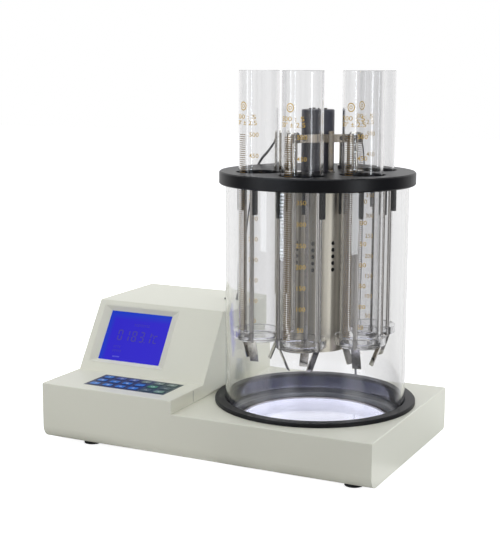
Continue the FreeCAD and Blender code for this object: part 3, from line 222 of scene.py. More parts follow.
class Effect(Enum):
    """Shared surface effects, each one shader node group."""

    GRAIN = "surface_grain"
    STREAKS = "drawn_streaks"
    DUST = "settled_dust"


class Kind(Enum):
    """Kinds of value that a group takes and gives."""

    COLOUR = "NodeSocketColor"
    VALUE = "NodeSocketFloat"
    VECTOR = "NodeSocketVector"


class EffectGroups:
    """Builds each shared effect once and places it in materials."""

    SURFACE = {"Color": Kind.COLOUR, "Roughness": Kind.VALUE, "Height": Kind.VALUE}
    TONE_SCALE = 9.0
    WIDE_SCALE = 0.35
    THIN_SCALE = 2.4
    CLOUD_SCALE = 40.0
    SPECK_SCALE = 1600.0

    def __init__(self) -> None:
        """Starts with no group built."""
        self.built: dict[Effect, bpy.types.NodeTree] = {}

    def group(self, effect: Effect) -> bpy.types.NodeTree:
        """Finds an effect's node group, or builds it when first asked for.

        Args:
            effect: The effect.

        Returns:
            Its node group.
        """
        if effect not in self.built:
            maker = {Effect.GRAIN: self.grain, Effect.STREAKS: self.streaks,
                     Effect.DUST: self.dust}[effect]
            self.built[effect] = maker(bpy.data.node_groups.new(effect.value, "ShaderNodeTree"))
        return self.built[effect]

    def use(self, graph: Graph, effect: Effect, inputs: dict) -> dict[str, Socket]:
        """Places an effect in a material and returns what it gives."""
        return graph.add("ShaderNodeGroup", inputs, node_tree=self.group(effect)).outputs

    def begin(self, tree: bpy.types.NodeTree, inputs: dict[str, tuple[Kind, object]],
              outputs: dict[str, Kind]) -> tuple[Graph, dict[str, Socket]]:
        """Gives an empty group its sockets.

        Args:
            tree: The empty group.
            inputs: Name, kind and default of each input.
            outputs: Name and kind of each output.

        Returns:
            The group's graph, and what its inputs give.
        """
        for name, (kind, default) in inputs.items():
            socket = tree.interface.new_socket(name, in_out="INPUT", socket_type=kind.value)
            socket.default_value = default
        for name, kind in outputs.items():
            tree.interface.new_socket(name, in_out="OUTPUT", socket_type=kind.value)
        graph = Graph(tree)
        return graph, graph.add("NodeGroupInput").outputs

    def end(self, graph: Graph, results: dict[str, Socket]) -> bpy.types.NodeTree:
        """Links a group's results to its outputs and returns the group."""
        graph.add("NodeGroupOutput", results)
        return graph.tree

    def grain(self, tree: bpy.types.NodeTree) -> bpy.types.NodeTree:
        """Fine grain with slow changes of tone, for paint, plastic and rubber.

        Args:
            tree: The empty group.

        Returns:
            The finished group.
        """
        graph, given = self.begin(tree, {
            "Color": (Kind.COLOUR, (0.8, 0.8, 0.8, 1)), "Tone": (Kind.VALUE, 0.03),
            "Scale": (Kind.VALUE, 900.0), "Roughness": (Kind.VALUE, 0.5),
            "Spread": (Kind.VALUE, 0.06)}, self.SURFACE)
        where = graph.place()
        fine = graph.noise(where, given["Scale"], 2.0)
        slow = graph.noise(where, self.TONE_SCALE, 4.0, 0.6)
        swing = graph.math("MULTIPLY", graph.math("SUBTRACT", slow, 0.5), given["Tone"])
        level = graph.math("ADD", graph.math("MULTIPLY", swing, 2.0), 1.0)
        part = graph.math("MULTIPLY", graph.math("SUBTRACT", fine, 0.5), given["Spread"])
        rough = graph.math("ADD", given["Roughness"], graph.math("ADD", part, swing))
        return self.end(graph, {"Color": graph.dimmed(given["Color"], level),
                                "Roughness": rough, "Height": fine})

    def streaks(self, tree: bpy.types.NodeTree) -> bpy.types.NodeTree:
        """Long streaks along one axis, for drawn and brushed metal; their tinted bands are
        partly the metal's tone and partly painted reflection.

        Args:
            tree: The empty group.

        Returns:
            The finished group.
        """
        graph, given = self.begin(tree, {
            "Color": (Kind.COLOUR, (0.8, 0.8, 0.8, 1)),
            "Tint": (Kind.COLOUR, (0.5, 0.45, 0.38, 1)), "Amount": (Kind.VALUE, 0.5),
            "Stretch": (Kind.VECTOR, (300, 300, 4)), "Roughness": (Kind.VALUE, 0.25),
            "Spread": (Kind.VALUE, 0.2)}, self.SURFACE)
        where = graph.add("ShaderNodeTexCoord").outputs["Object"]
        drawn = graph.add("ShaderNodeVectorMath", {0: where, 1: given["Stretch"]},
                          operation="MULTIPLY").outputs[0]
        wide = graph.noise(drawn, self.WIDE_SCALE, 2.0, 0.5)
        thin = graph.noise(drawn, self.THIN_SCALE, 3.0, 0.6)
        # The tint is laid in these bands: partly tone of the drawn metal, partly painted
        # reflection.
        band = graph.remap(wide, 0.38, 0.66, 0.0, 1.0)
        share = graph.math("MULTIPLY", band, given["Amount"])
        share = graph.math("ADD", share, graph.remap(thin, 0.3, 0.7, -0.08, 0.08), clamp=True)
        part = graph.math("MULTIPLY", graph.math("SUBTRACT", thin, 0.5), given["Spread"])
        rough = graph.math("ADD", given["Roughness"], part, clamp=True)
        return self.end(graph, {"Color": graph.mix(share, given["Color"], given["Tint"]),
                                "Roughness": rough, "Height": thin})

    def dust(self, tree: bpy.types.NodeTree) -> bpy.types.NodeTree:
        """A thin pale film with specks on faces that look up.

        Args:
            tree: The empty group.

        Returns:
            The finished group.
        """
        graph, given = self.begin(tree, {
            "Color": (Kind.COLOUR, (0.1, 0.1, 0.1, 1)),
            "Dust": (Kind.COLOUR, (0.5, 0.5, 0.48, 1)),
            "Amount": (Kind.VALUE, 0.1)}, {"Color": Kind.COLOUR})
        upward = graph.split(graph.add("ShaderNodeNewGeometry").outputs["Normal"])[2]
        facing = graph.remap(upward, 0.6, 1.0, 0.0, 1.0)
        cloud = graph.noise(graph.place(), self.CLOUD_SCALE, 5.0, 0.7)
        specks = graph.noise(graph.place(), self.SPECK_SCALE, 1.0)
        film = graph.math("ADD", graph.remap(cloud, 0.3, 0.8, 0.5, 1.3),
                          graph.remap(specks, 0.68, 0.76, 0.0, 2.0))
        film = graph.math("MULTIPLY", film, given["Amount"])
        share = graph.math("MULTIPLY", film, facing, clamp=True)
        return self.end(graph, {"Color": graph.mix(share, given["Color"], given["Dust"])})


EFFECTS = EffectGroups()


# Finishes


@dataclass(frozen=True)
class Finish(ABC):
    """A surface finish that can make its material."""

    name: str

    def material(self) -> bpy.types.Material:
        """Finds the finish's material, or makes it when first asked for.

        Returns:
            The material.
        """
        found = bpy.data.materials.get(self.name)
        if found is None:
            found = bpy.data.materials.new(self.name)
            found.use_nodes = True
            found.node_tree.nodes.clear()
            graph = Graph(found.node_tree)
            graph.add("ShaderNodeOutputMaterial", {"Surface": self.shade(graph)})
        return found

    @abstractmethod
    def shade(self, graph: Graph) -> Socket:
        """Adds the finish's nodes and returns the surface shader."""

    def dress(self, *names: str) -> None:
        """Gives the finish to CAD nodes.

        Args:
            names: The nodes' names.
        """
        for name in names:
            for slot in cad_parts[name].material_slots:
                slot.material = self.material()

    def paint(self, obj: bpy.types.Object) -> None:
        """Gives the finish to an object as its only material."""
        obj.data.materials.clear()
        obj.data.materials.append(self.material())


@dataclass(frozen=True)
class Coat(Finish):
    """Paint, moulded plastic or rubber with grain and a little dust."""

    colour: Colour
    roughness: float = 0.45
    tone: float = 0.03
    grain_scale: float = 900.0
    bump: float = 0.05
    dust: float = 0.0
    specular: float = 0.5
    coat: float = 0.0
    bump_depth: float = 0.0004

    def shade(self, graph: Graph) -> Socket:
        """Puts grain, dust and bump on one Principled shader.

        Args:
            graph: The material's tree.

        Returns:
            The surface shader.
        """
        grain = EFFECTS.use(graph, Effect.GRAIN, {
            "Color": self.colour, "Tone": self.tone, "Scale": self.grain_scale,
            "Roughness": self.roughness})
        colour = grain["Color"]
        if self.dust:
            colour = EFFECTS.use(graph, Effect.DUST, {"Color": colour,
                                                      "Amount": self.dust})["Color"]
        return graph.principled({
            "Base Color": colour, "Roughness": grain["Roughness"],
            "Specular IOR Level": self.specular, "Coat Weight": self.coat,
            "Normal": graph.bump(grain["Height"], self.bump, self.bump_depth)})


@dataclass(frozen=True)
class DrawnSteel(Finish):
    """Metal with long streaks of tone along one axis, partly painted reflection."""

    colour: Colour
    tint: Colour
    amount: float = 0.5
    stretch: Point = (300.0, 300.0, 4.0)
    roughness: float = 0.22
    spread: float = 0.2
    bump: float = 0.04
    bump_depth: float = 0.0002

    def tone(self, graph: Graph, colour: Socket) -> Socket:
        """Gives the metal's final colour, here the streaks' own."""
        return colour

    def shade(self, graph: Graph) -> Socket:
        """Puts streaks on a metallic Principled shader.

        Args:
            graph: The material's tree.

        Returns:
            The surface shader.
        """
        streaks = EFFECTS.use(graph, Effect.STREAKS, {
            "Color": self.colour, "Tint": self.tint, "Amount": self.amount,
            "Stretch": self.stretch, "Roughness": self.roughness, "Spread": self.spread})
        return graph.principled({
            "Base Color": self.tone(graph, streaks["Color"]), "Metallic": 1.0,
            "Roughness": streaks["Roughness"],
            "Normal": graph.bump(streaks["Height"], self.bump, self.bump_depth)})


@dataclass(frozen=True)
class TubeSteel(DrawnSteel):
    """Drawn metal of a tube, with painted shade on its inner face."""

    centre: Pair = BATH_CENTRE
    bore: float = 0.0405
    # Painted shade: share of the colour left on the tube's inner face.
    inside: float = 0.08

    def tone(self, graph: Graph, colour: Socket) -> Socket:
        """Paints shade on the tube's inner face by darkening its colour."""
        share = graph.math("GREATER_THAN", graph.away(self.centre), self.bore)
        return graph.dimmed(colour, graph.remap(share, 0.0, 1.0, self.inside, 1.0))


@dataclass(frozen=True)
class RippledSteel(Finish):
    """Polished pressed cup: rings and soft waves of its pressing, and a painted dark reflection
    high on the wall.
    """

    centre: Pair = BATH_CENTRE
    colour: Colour = (0.66, 0.66, 0.69, 1)
    tint: Colour = (0.2, 0.2, 0.22, 1)
    # Painted reflection: dark colour of the wall's upper part, for the dark surroundings that it
    # mirrors.
    deep: Colour = (0.03, 0.034, 0.07, 1)
    low_z: float = 0.040
    high_z: float = 0.056
    low_roughness: float = 0.42
    high_roughness: float = 0.22
    spread: float = 0.06
    wave_scale: float = 26.0
    ring_scale: float = 30.0
    ring_share: float = 0.6
    streak_scale: float = 90.0
    bump: float = 0.1
    bump_depth: float = 0.004

    def shade(self, graph: Graph) -> Socket:
        """Lays rings of height and waves round the cup's axis, and paints a dark reflection high
        on the wall.

        Args:
            graph: The material's tree.

        Returns:
            The surface shader.
        """
        waves = graph.noise(graph.place(scale=(1, 1, 3.0)), self.wave_scale, 2.0, 0.4)
        rings = graph.noise(graph.place(scale=(0.3, 0.3, 9.0)), self.ring_scale, 3.0, 0.6)
        height = graph.math("ADD", waves, graph.math("MULTIPLY", rings, self.ring_share))
        streak = graph.noise(graph.away(self.centre, 1.0), self.streak_scale, 4.0, 0.7)
        steel = graph.mix(graph.remap(rings, 0.35, 0.7, 0.0, 0.75), self.colour, self.tint)
        # Between low_z and high_z the wall turns to the painted dark reflection; roughness
        # changes with it.
        share = graph.remap(graph.split(graph.place())[2], self.low_z, self.high_z, 0.0, 1.0)
        rough = graph.math(
            "ADD", graph.remap(streak, 0.3, 0.7, -self.spread, self.spread),
            graph.remap(share, 0.0, 1.0, self.low_roughness, self.high_roughness))
        return graph.principled({
            "Base Color": graph.mix(share, steel, self.deep), "Metallic": 1.0,
            "Roughness": rough, "Normal": graph.bump(height, self.bump, self.bump_depth)})


@dataclass(frozen=True)
class ClearGlass(Finish):
    """Clear tinted glass that lets lamps through."""

    tint: Colour
    roughness: float = 0.0
    ior: float = 1.47
    bump: float = 0.0
    bump_depth: float = 0.001
    draw_scale: float = 60.0
    draw_stretch: Point = (1, 1, 0.08)

    def shade(self, graph: Graph) -> Socket:
        """Adds transmission with a clear path for shadow rays.

        Args:
            graph: The material's tree.

        Returns:
            The surface shader.
        """
        inputs = {"Base Color": self.tint, "Roughness": self.roughness, "IOR": self.ior,
                  "Metallic": 0.0, "Transmission Weight": 1.0}
        if self.bump:
            drawn = graph.noise(graph.place(scale=self.draw_stretch), self.draw_scale, 2.0)
            inputs["Normal"] = graph.bump(drawn, self.bump, self.bump_depth)
        glass = graph.principled(inputs)
        clear = graph.add("ShaderNodeBsdfTransparent", {"Color": self.tint}).outputs[0]
        shadow = graph.add("ShaderNodeLightPath").outputs["Is Shadow Ray"]
        return graph.add("ShaderNodeMixShader", {0: shadow, 1: glass, 2: clear}).outputs[0]


@dataclass(frozen=True)
class Lit(Finish):
    """A surface that also gives light, such as a display or a lamp window."""

    colour: Colour
    glow: Colour
    strength: float = 1.0
    roughness: float = 0.3
    unevenness: float = 0.1
    specular: float = 0.5
    cloud_scale: float = 30.0
    roughness_swing: float = 0.15

    def light(self, graph: Graph) -> Colour | Socket:
        """Gives the colour of the glow, here plain."""
        return self.glow

    def shade(self, graph: Graph) -> Socket:
        """Puts an uneven glow on the base colour.

        Args:
            graph: The material's tree.

        Returns:
            The surface shader.
        """
        cloud = graph.noise(graph.place(), self.cloud_scale, 3.0)
        level = graph.remap(cloud, 0.2, 0.8, 1.0 - self.unevenness, 1.0)
        rough = graph.remap(cloud, 0.2, 0.8, self.roughness * (1 - self.roughness_swing),
                            self.roughness * (1 + self.roughness_swing))
        return graph.principled({
            "Base Color": self.colour, "Roughness": rough,
            "Specular IOR Level": self.specular,
            "Emission Color": graph.dimmed(self.light(graph), level),
            "Emission Strength": self.strength})


@dataclass(frozen=True)
class DisplayGlass(Lit):
    """Display glass that glows paler along the left and the upper edge."""

    pale: Colour = srgb(20, 66, 202)
    left_x: float = -0.2190
    top_z: float = 0.1630
    reach: float = 0.011

    def light(self, graph: Graph) -> Socket:
        """Blends the glow by the distance from the two pale edges.

        Args:
            graph: The material's tree.

        Returns:
            The glow's colour.
        """
        x, _, z = graph.split(graph.place())
        near = graph.math("MINIMUM", graph.math("SUBTRACT", x, self.left_x),
                          graph.math("SUBTRACT", self.top_z, z))
        return graph.mix(graph.remap(near, 0.0, self.reach, 0.0, 1.0), self.pale, self.glow)


@dataclass(frozen=True)
class LampWindow(Lit):
    """Opal window over rings of lamps: dimmer in the middle, brightest at the edge."""

    centre: Pair = BATH_CENTRE
    radius: float = 0.101
    levels: tuple[Pair, ...] = ((0.0, 0.6), (0.35, 0.62), (0.55, 0.9), (0.7, 0.95),
                                (0.86, 1.3), (1.0, 1.4))

    def light(self, graph: Graph) -> Socket:
        """Dims the glow by the distance from the window's middle."""
        share = graph.math("DIVIDE", graph.away(self.centre), self.radius)
        return graph.mix(1.0, graph.greys(share, self.levels), self.glow, Blend.MULTIPLY)


@dataclass(frozen=True)
class KeypadGround(Finish):
    """Printed membrane: a grey edge, a navy left part and a dark green right part."""

    low: Pair
    high: Pair
    split: float
    border: float = 0.0014
    edge: Colour = srgb(62, 66, 70)
    left: Colour = srgb(18, 40, 84)
    right: Colour = srgb(26, 58, 60)
    tone: float = 0.06
    grain_scale: float = 2600.0
    roughness: float = 0.4
    bump: float = 0.08
    bump_depth: float = 0.0002

    def shade(self, graph: Graph) -> Socket:
        """Tells the areas apart by object coordinates and adds fine embossing grain.

        Args:
            graph: The material's tree.

        Returns:
            The surface shader.
        """
        x, y, _ = graph.split(graph.place())
        inside = 1.0
        for value, low, high in ((x, self.low[0], self.high[0]), (y, self.low[1], self.high[1])):
            past = graph.math("GREATER_THAN", value, low + self.border)
            before = graph.math("LESS_THAN", value, high - self.border)
            inside = graph.math("MULTIPLY", inside, graph.math("MULTIPLY", past, before))
        side = graph.math("GREATER_THAN", x, self.split)
        colour = graph.mix(inside, self.edge, graph.mix(side, self.left, self.right))
        grain = EFFECTS.use(graph, Effect.GRAIN, {
            "Color": colour, "Tone": self.tone, "Scale": self.grain_scale,
            "Roughness": self.roughness})
        return graph.principled({
            "Base Color": grain["Color"], "Roughness": grain["Roughness"],
            "Normal": graph.bump(grain["Height"], self.bump, self.bump_depth)})


@dataclass(frozen=True)
class Surroundings:
    """What shiny surfaces see round the object: white behind, dark in front, bright bands."""

    view_turn: float = VIEW_TURN
    centre: Pair = BATH_CENTRE
    bands: tuple[Pair, ...] = (
        (-180, 1.0), (-165, 1.0), (-140, 0.88), (-124, 0.72), (-112, 0.16), (-88, 0.12),
        (-80, 1.0), (-58, 1.0), (-52, 0.16), (-40, 0.12), (-34, 0.62), (-25, 0.62),
        (-19, 0.14), (-8, 0.16), (-3, 0.46), (6, 0.46), (11, 0.14), (26, 0.18), (33, 1.0),
        (50, 1.0), (56, 0.14), (104, 0.18), (118, 0.74), (140, 0.9), (165, 1.0),
        (180, 1.0))

    def rightward(self, graph: Graph, where: Socket) -> Socket:
        """Tells how far a direction points to the camera's right."""
        turn = math.radians(self.view_turn)
        return graph.dot(where, (math.cos(turn), math.sin(turn), 0.0))

    def level(self, graph: Graph, where: Socket) -> Socket:
        """Gives the brightness by direction round the object.

        Args:
            graph: The tree that gets the nodes.
            where: A direction, or a place measured from the object's middle.

        Returns:
            The brightness as a colour.
        """
        turn = math.radians(self.view_turn)
        near = graph.dot(where, (math.sin(turn), -math.cos(turn), 0.0))
        angle = graph.math("ARCTAN2", self.rightward(graph, where), near)
        share = graph.remap(angle, -math.pi, math.pi, 0.0, 1.0)
        return graph.greys(share, [((at + 180) / 360, level) for at, level in self.bands])


@dataclass(frozen=True)
class StageFloor(Finish):
    """Pale floor that keeps the object's shadow and reads white to the camera."""

    colour: Colour = (0.74, 0.74, 0.74, 1)
    lift: float = 0.9
    around: Surroundings = Surroundings()

    def shade(self, graph: Graph) -> Socket:
        """Mixes lifted diffuse paint with the surroundings that shiny surfaces see.

        Args:
            graph: The material's tree.

        Returns:
            The surface shader.
        """
        camera = graph.add("ShaderNodeLightPath").outputs["Is Camera Ray"]
        paint = graph.add("ShaderNodeBsdfDiffuse", {"Color": self.colour}).outputs[0]
        light = graph.add("ShaderNodeEmission", {
            "Strength": graph.math("MULTIPLY", camera, self.lift)}).outputs[0]
        lifted = graph.add("ShaderNodeAddShader", {0: paint, 1: light}).outputs[0]
        x, y = self.around.centre
        room = self.around.level(graph, graph.place(shift=(-x, -y, 0)))
        plain = graph.add("ShaderNodeEmission", {"Color": room}).outputs[0]
        return graph.add("ShaderNodeMixShader", {
            0: graph.mirrored(), 1: lifted, 2: plain}).outputs[0]


class Finishes:
    """The finishes of this instrument."""

    IVORY = Coat("ivory_powder_coat", srgb(228, 225, 206), 0.36, 0.012, 700.0, 0.02, 0.02)
    BEZEL = Coat("bezel_moulding", srgb(228, 225, 207), 0.38, 0.012, 1500.0, 0.02)
    BLACK_LID = Coat("black_lid_plastic", srgb(12, 12, 16), 0.38, 0.10, 1400.0, 0.08, 0.022,
                     specular=0.21)
    BLACK_RING = Coat("black_ring_coat", srgb(14, 14, 18), 0.42, 0.10, 1400.0, 0.08, 0.012,
                      specular=0.22)
    BLACK_PAINT = Coat("black_motor_paint", srgb(64, 63, 70), 0.36, 0.08, 900.0, 0.08, 0.005,
                       specular=0.3)
    BLACK_PLASTIC = Coat("black_moulded_plastic", srgb(20, 20, 23), 0.42, 0.08, 1800.0, 0.06,
                         specular=0.35)
    RUBBER = Coat("black_rubber_soft", srgb(26, 26, 28), 0.75, 0.1, 2200.0, 0.12, 0.02)
    SILICONE = Coat("pale_silicone_rubber", srgb(176, 170, 164), 0.4, 0.06, 2200.0, 0.05)
    SEAL = Coat("grey_seal_rubber", srgb(60, 60, 62), 0.7, 0.1, 2200.0, 0.12)
    JACKET = Coat("cord_jacket_rubber", srgb(38, 40, 52), 0.5, 0.1, 2500.0, 0.1)
    BOARD = Coat("board_lacquer", srgb(24, 84, 52), 0.35, 0.12, 1200.0, 0.1, coat=0.3)
    DARK_SCREW = Coat("dark_screw_finish", srgb(64, 58, 54), 0.35, 0.1, 1500.0, 0.05,
                      specular=0.8)
    MARK = Coat("pale_mark_print", srgb(214, 222, 226), 0.5, 0.05, 3000.0, 0.02)
    SEAM = Coat("seam_shadow", srgb(86, 85, 78), 0.8, 0.1, 3000.0, 0.02)
    AMBER = Coat("amber_fired_print", srgb(230, 188, 88), 0.5, 0.22, 1800.0, 0.03)
    AMBER_LINES = Coat("amber_fired_lines", srgb(132, 98, 30), 0.5, 0.22, 1800.0, 0.03)
    LCD_INK = Lit("display_segments", srgb(8, 6, 50), srgb(74, 67, 166), 0.84, 0.3, 0.03,
                  specular=0.04)
    LCD_FAINT = Coat("display_faint_segments", srgb(90, 90, 215), 0.4, 0.04, 3000.0, 0.0)
    # The drawn metals' tints are partly painted reflection of the surroundings.
    STEEL = DrawnSteel("drawn_stainless", srgb(206, 198, 186), srgb(132, 118, 100), 0.8,
                       (420.0, 420.0, 3.0), 0.12, 0.1)
    HANGER_STEEL = DrawnSteel("hanger_stainless", srgb(236, 233, 230), srgb(112, 106, 100),
                              0.8, (260.0, 260.0, 3.0), 0.07, 0.06, 0.2)
    # The tube's inner face gets painted shade.
    TUBE_STEEL = TubeSteel("tube_stainless_painted_inner_shade", srgb(240, 233, 216), srgb(92, 80, 64), 0.9,
                           (170.0, 170.0, 1.0), 0.3, 0.1, 0.3)
    ROD_STEEL = DrawnSteel("heater_stainless", srgb(222, 218, 210), srgb(138, 128, 114), 0.6,
                           (500.0, 500.0, 30.0), 0.1, 0.08)
    PLATED = DrawnSteel("plated_steel_bright", srgb(196, 196, 194), srgb(150, 150, 148), 0.4,
                        (600.0, 600.0, 60.0), 0.28, 0.2)
    SINK = DrawnSteel("anodised_sink", srgb(190, 190, 192), srgb(160, 160, 162), 0.4,
                      (20.0, 400.0, 20.0), 0.35, 0.2)
    BRONZE = DrawnSteel("bush_bronze_turned", srgb(176, 146, 96), srgb(140, 110, 68), 0.5,
                        (60.0, 60.0, 900.0), 0.3, 0.2)
    CUP = RippledSteel("rippled_cup_steel_painted_reflection")
    JAR_GLASS = ClearGlass("jar_glass", (0.955, 0.955, 0.957, 1), 0.0, 1.47, 0.02)
    CYLINDER_GLASS = ClearGlass("cylinder_glass", (0.926, 0.926, 0.93, 1), 0.0, 1.47, 0.015)
    RING_PLASTIC = ClearGlass("clear_ring_plastic", (0.93, 0.93, 0.94, 1), 0.04, 1.45)
    DIFFUSER = LampWindow("opal_lamp_window", (0.7, 0.7, 0.76, 1), (0.8, 0.81, 1.0, 1), 1.05,
                          0.3, 0.08)
    DISPLAY = DisplayGlass("display_blue_glass", srgb(8, 6, 60), srgb(50, 39, 209), 0.84,
                           0.2, 0.03, specular=0.04)


# Meshes


def link(obj: bpy.types.Object) -> None:
    """Links an object to the scene."""
    bpy.context.scene.collection.objects.link(obj)


def evaluated_mesh(obj: bpy.types.Object) -> bpy.types.Mesh:
    """Gives a new mesh of an object as Blender evaluates it now."""
    bpy.context.view_layer.update()
    return bpy.data.meshes.new_from_object(
        obj.evaluated_get(bpy.context.evaluated_depsgraph_get()))


def close_up(bm: bmesh.types.BMesh) -> None:
    """Joins points that meet and turns the faces outward."""
    bmesh.ops.remove_doubles(bm, verts=bm.verts, dist=WELD)
    bmesh.ops.recalc_face_normals(bm, faces=bm.faces)


def new_object(name: str, bm: bmesh.types.BMesh, finish: Finish, body: str | None = None,
               sharp: float = 35.0) -> bpy.types.Object:
    """Makes an object from a bmesh, in place, with its finish and body.

    Args:
        name: The object's name.
        bm: The finished bmesh, in metres in the row frame. It is freed.
        finish: The finish that it gets.
        body: The body that it rides on, or None for stage pieces.
        sharp: Angle in degrees above which an edge stays sharp.

    Returns:
        The new object, linked to the scene.
    """
    mesh = bpy.data.meshes.new(name)
    bm.to_mesh(mesh)
    bm.free()
    mesh.shade_smooth()
    mesh.set_sharp_from_angle(angle=math.radians(sharp))
    obj = bpy.data.objects.new(name, mesh)
    link(obj)
    finish.paint(obj)
    if body:
        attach(obj, body)
    log.info("made %s: %d faces", name, len(mesh.polygons))
    return obj


def even_shading(obj: bpy.types.Object) -> bpy.types.Object:
    """Lets large faces lead the normals, so that long glass walls don't bend the view.

    Args:
        obj: The object.

    Returns:
        The same object.
    """
    shading = obj.modifiers.new("even_shading", "WEIGHTED_NORMAL")
    shading.mode = "FACE_AREA"
    shading.weight = 100
    shading.keep_sharp = True
    return obj


@dataclass
class Lathe:
    """Turned shape: a closed or open profile spun round a vertical axis."""

    profile: list[Pair]
    centre: Pair
    segments: int = 96
    near_radius: float = 0.05
    near_height: float = 0.01

    def build(self) -> bmesh.types.BMesh:
        """Spins the profile.

        Returns:
            A closed bmesh in metres with its faces outward.
        """
        bm = bmesh.new()
        cx, cy = self.centre
        verts = [bm.verts.new(((cx + r) * MM, cy * MM, z * MM)) for r, z in self.profile]
        edges = [bm.edges.new(pair) for pair in zip(verts, verts[1:])]
        if self.profile[0][0] > 0 or self.profile[-1][0] > 0:
            edges.append(bm.edges.new((verts[-1], verts[0])))
        bmesh.ops.spin(bm, geom=verts + edges, cent=(cx * MM, cy * MM, 0), axis=(0, 0, 1),
                       angle=math.tau, steps=self.segments, use_merge=True)
        close_up(bm)
        return bm

    def rounded(self, corners: list[tuple[float, float, float, int]]) -> bmesh.types.BMesh:
        """Spins the profile and rounds some of its corners.

        Args:
            corners: Radius from the axis, height, rounding and segments of each corner.

        Returns:
            The rounded bmesh.
        """
        bm = self.build()
        cx, cy = self.centre
        for radius, height, offset, segments in corners:
            ring = []
            for edge in bm.edges:
                points = [(math.hypot(v.co.x / MM - cx, v.co.y / MM - cy), v.co.z / MM)
                          for v in edge.verts]
                if all(abs(r - radius) < self.near_radius
                       and abs(z - height) < self.near_height for r, z in points):
                    ring.append(edge)
            bmesh.ops.bevel(bm, geom=ring, offset=offset * MM, offset_type="OFFSET",
                            segments=segments, profile=0.5, affect="EDGES", material=-1,
                            clamp_overlap=True)
        return bm


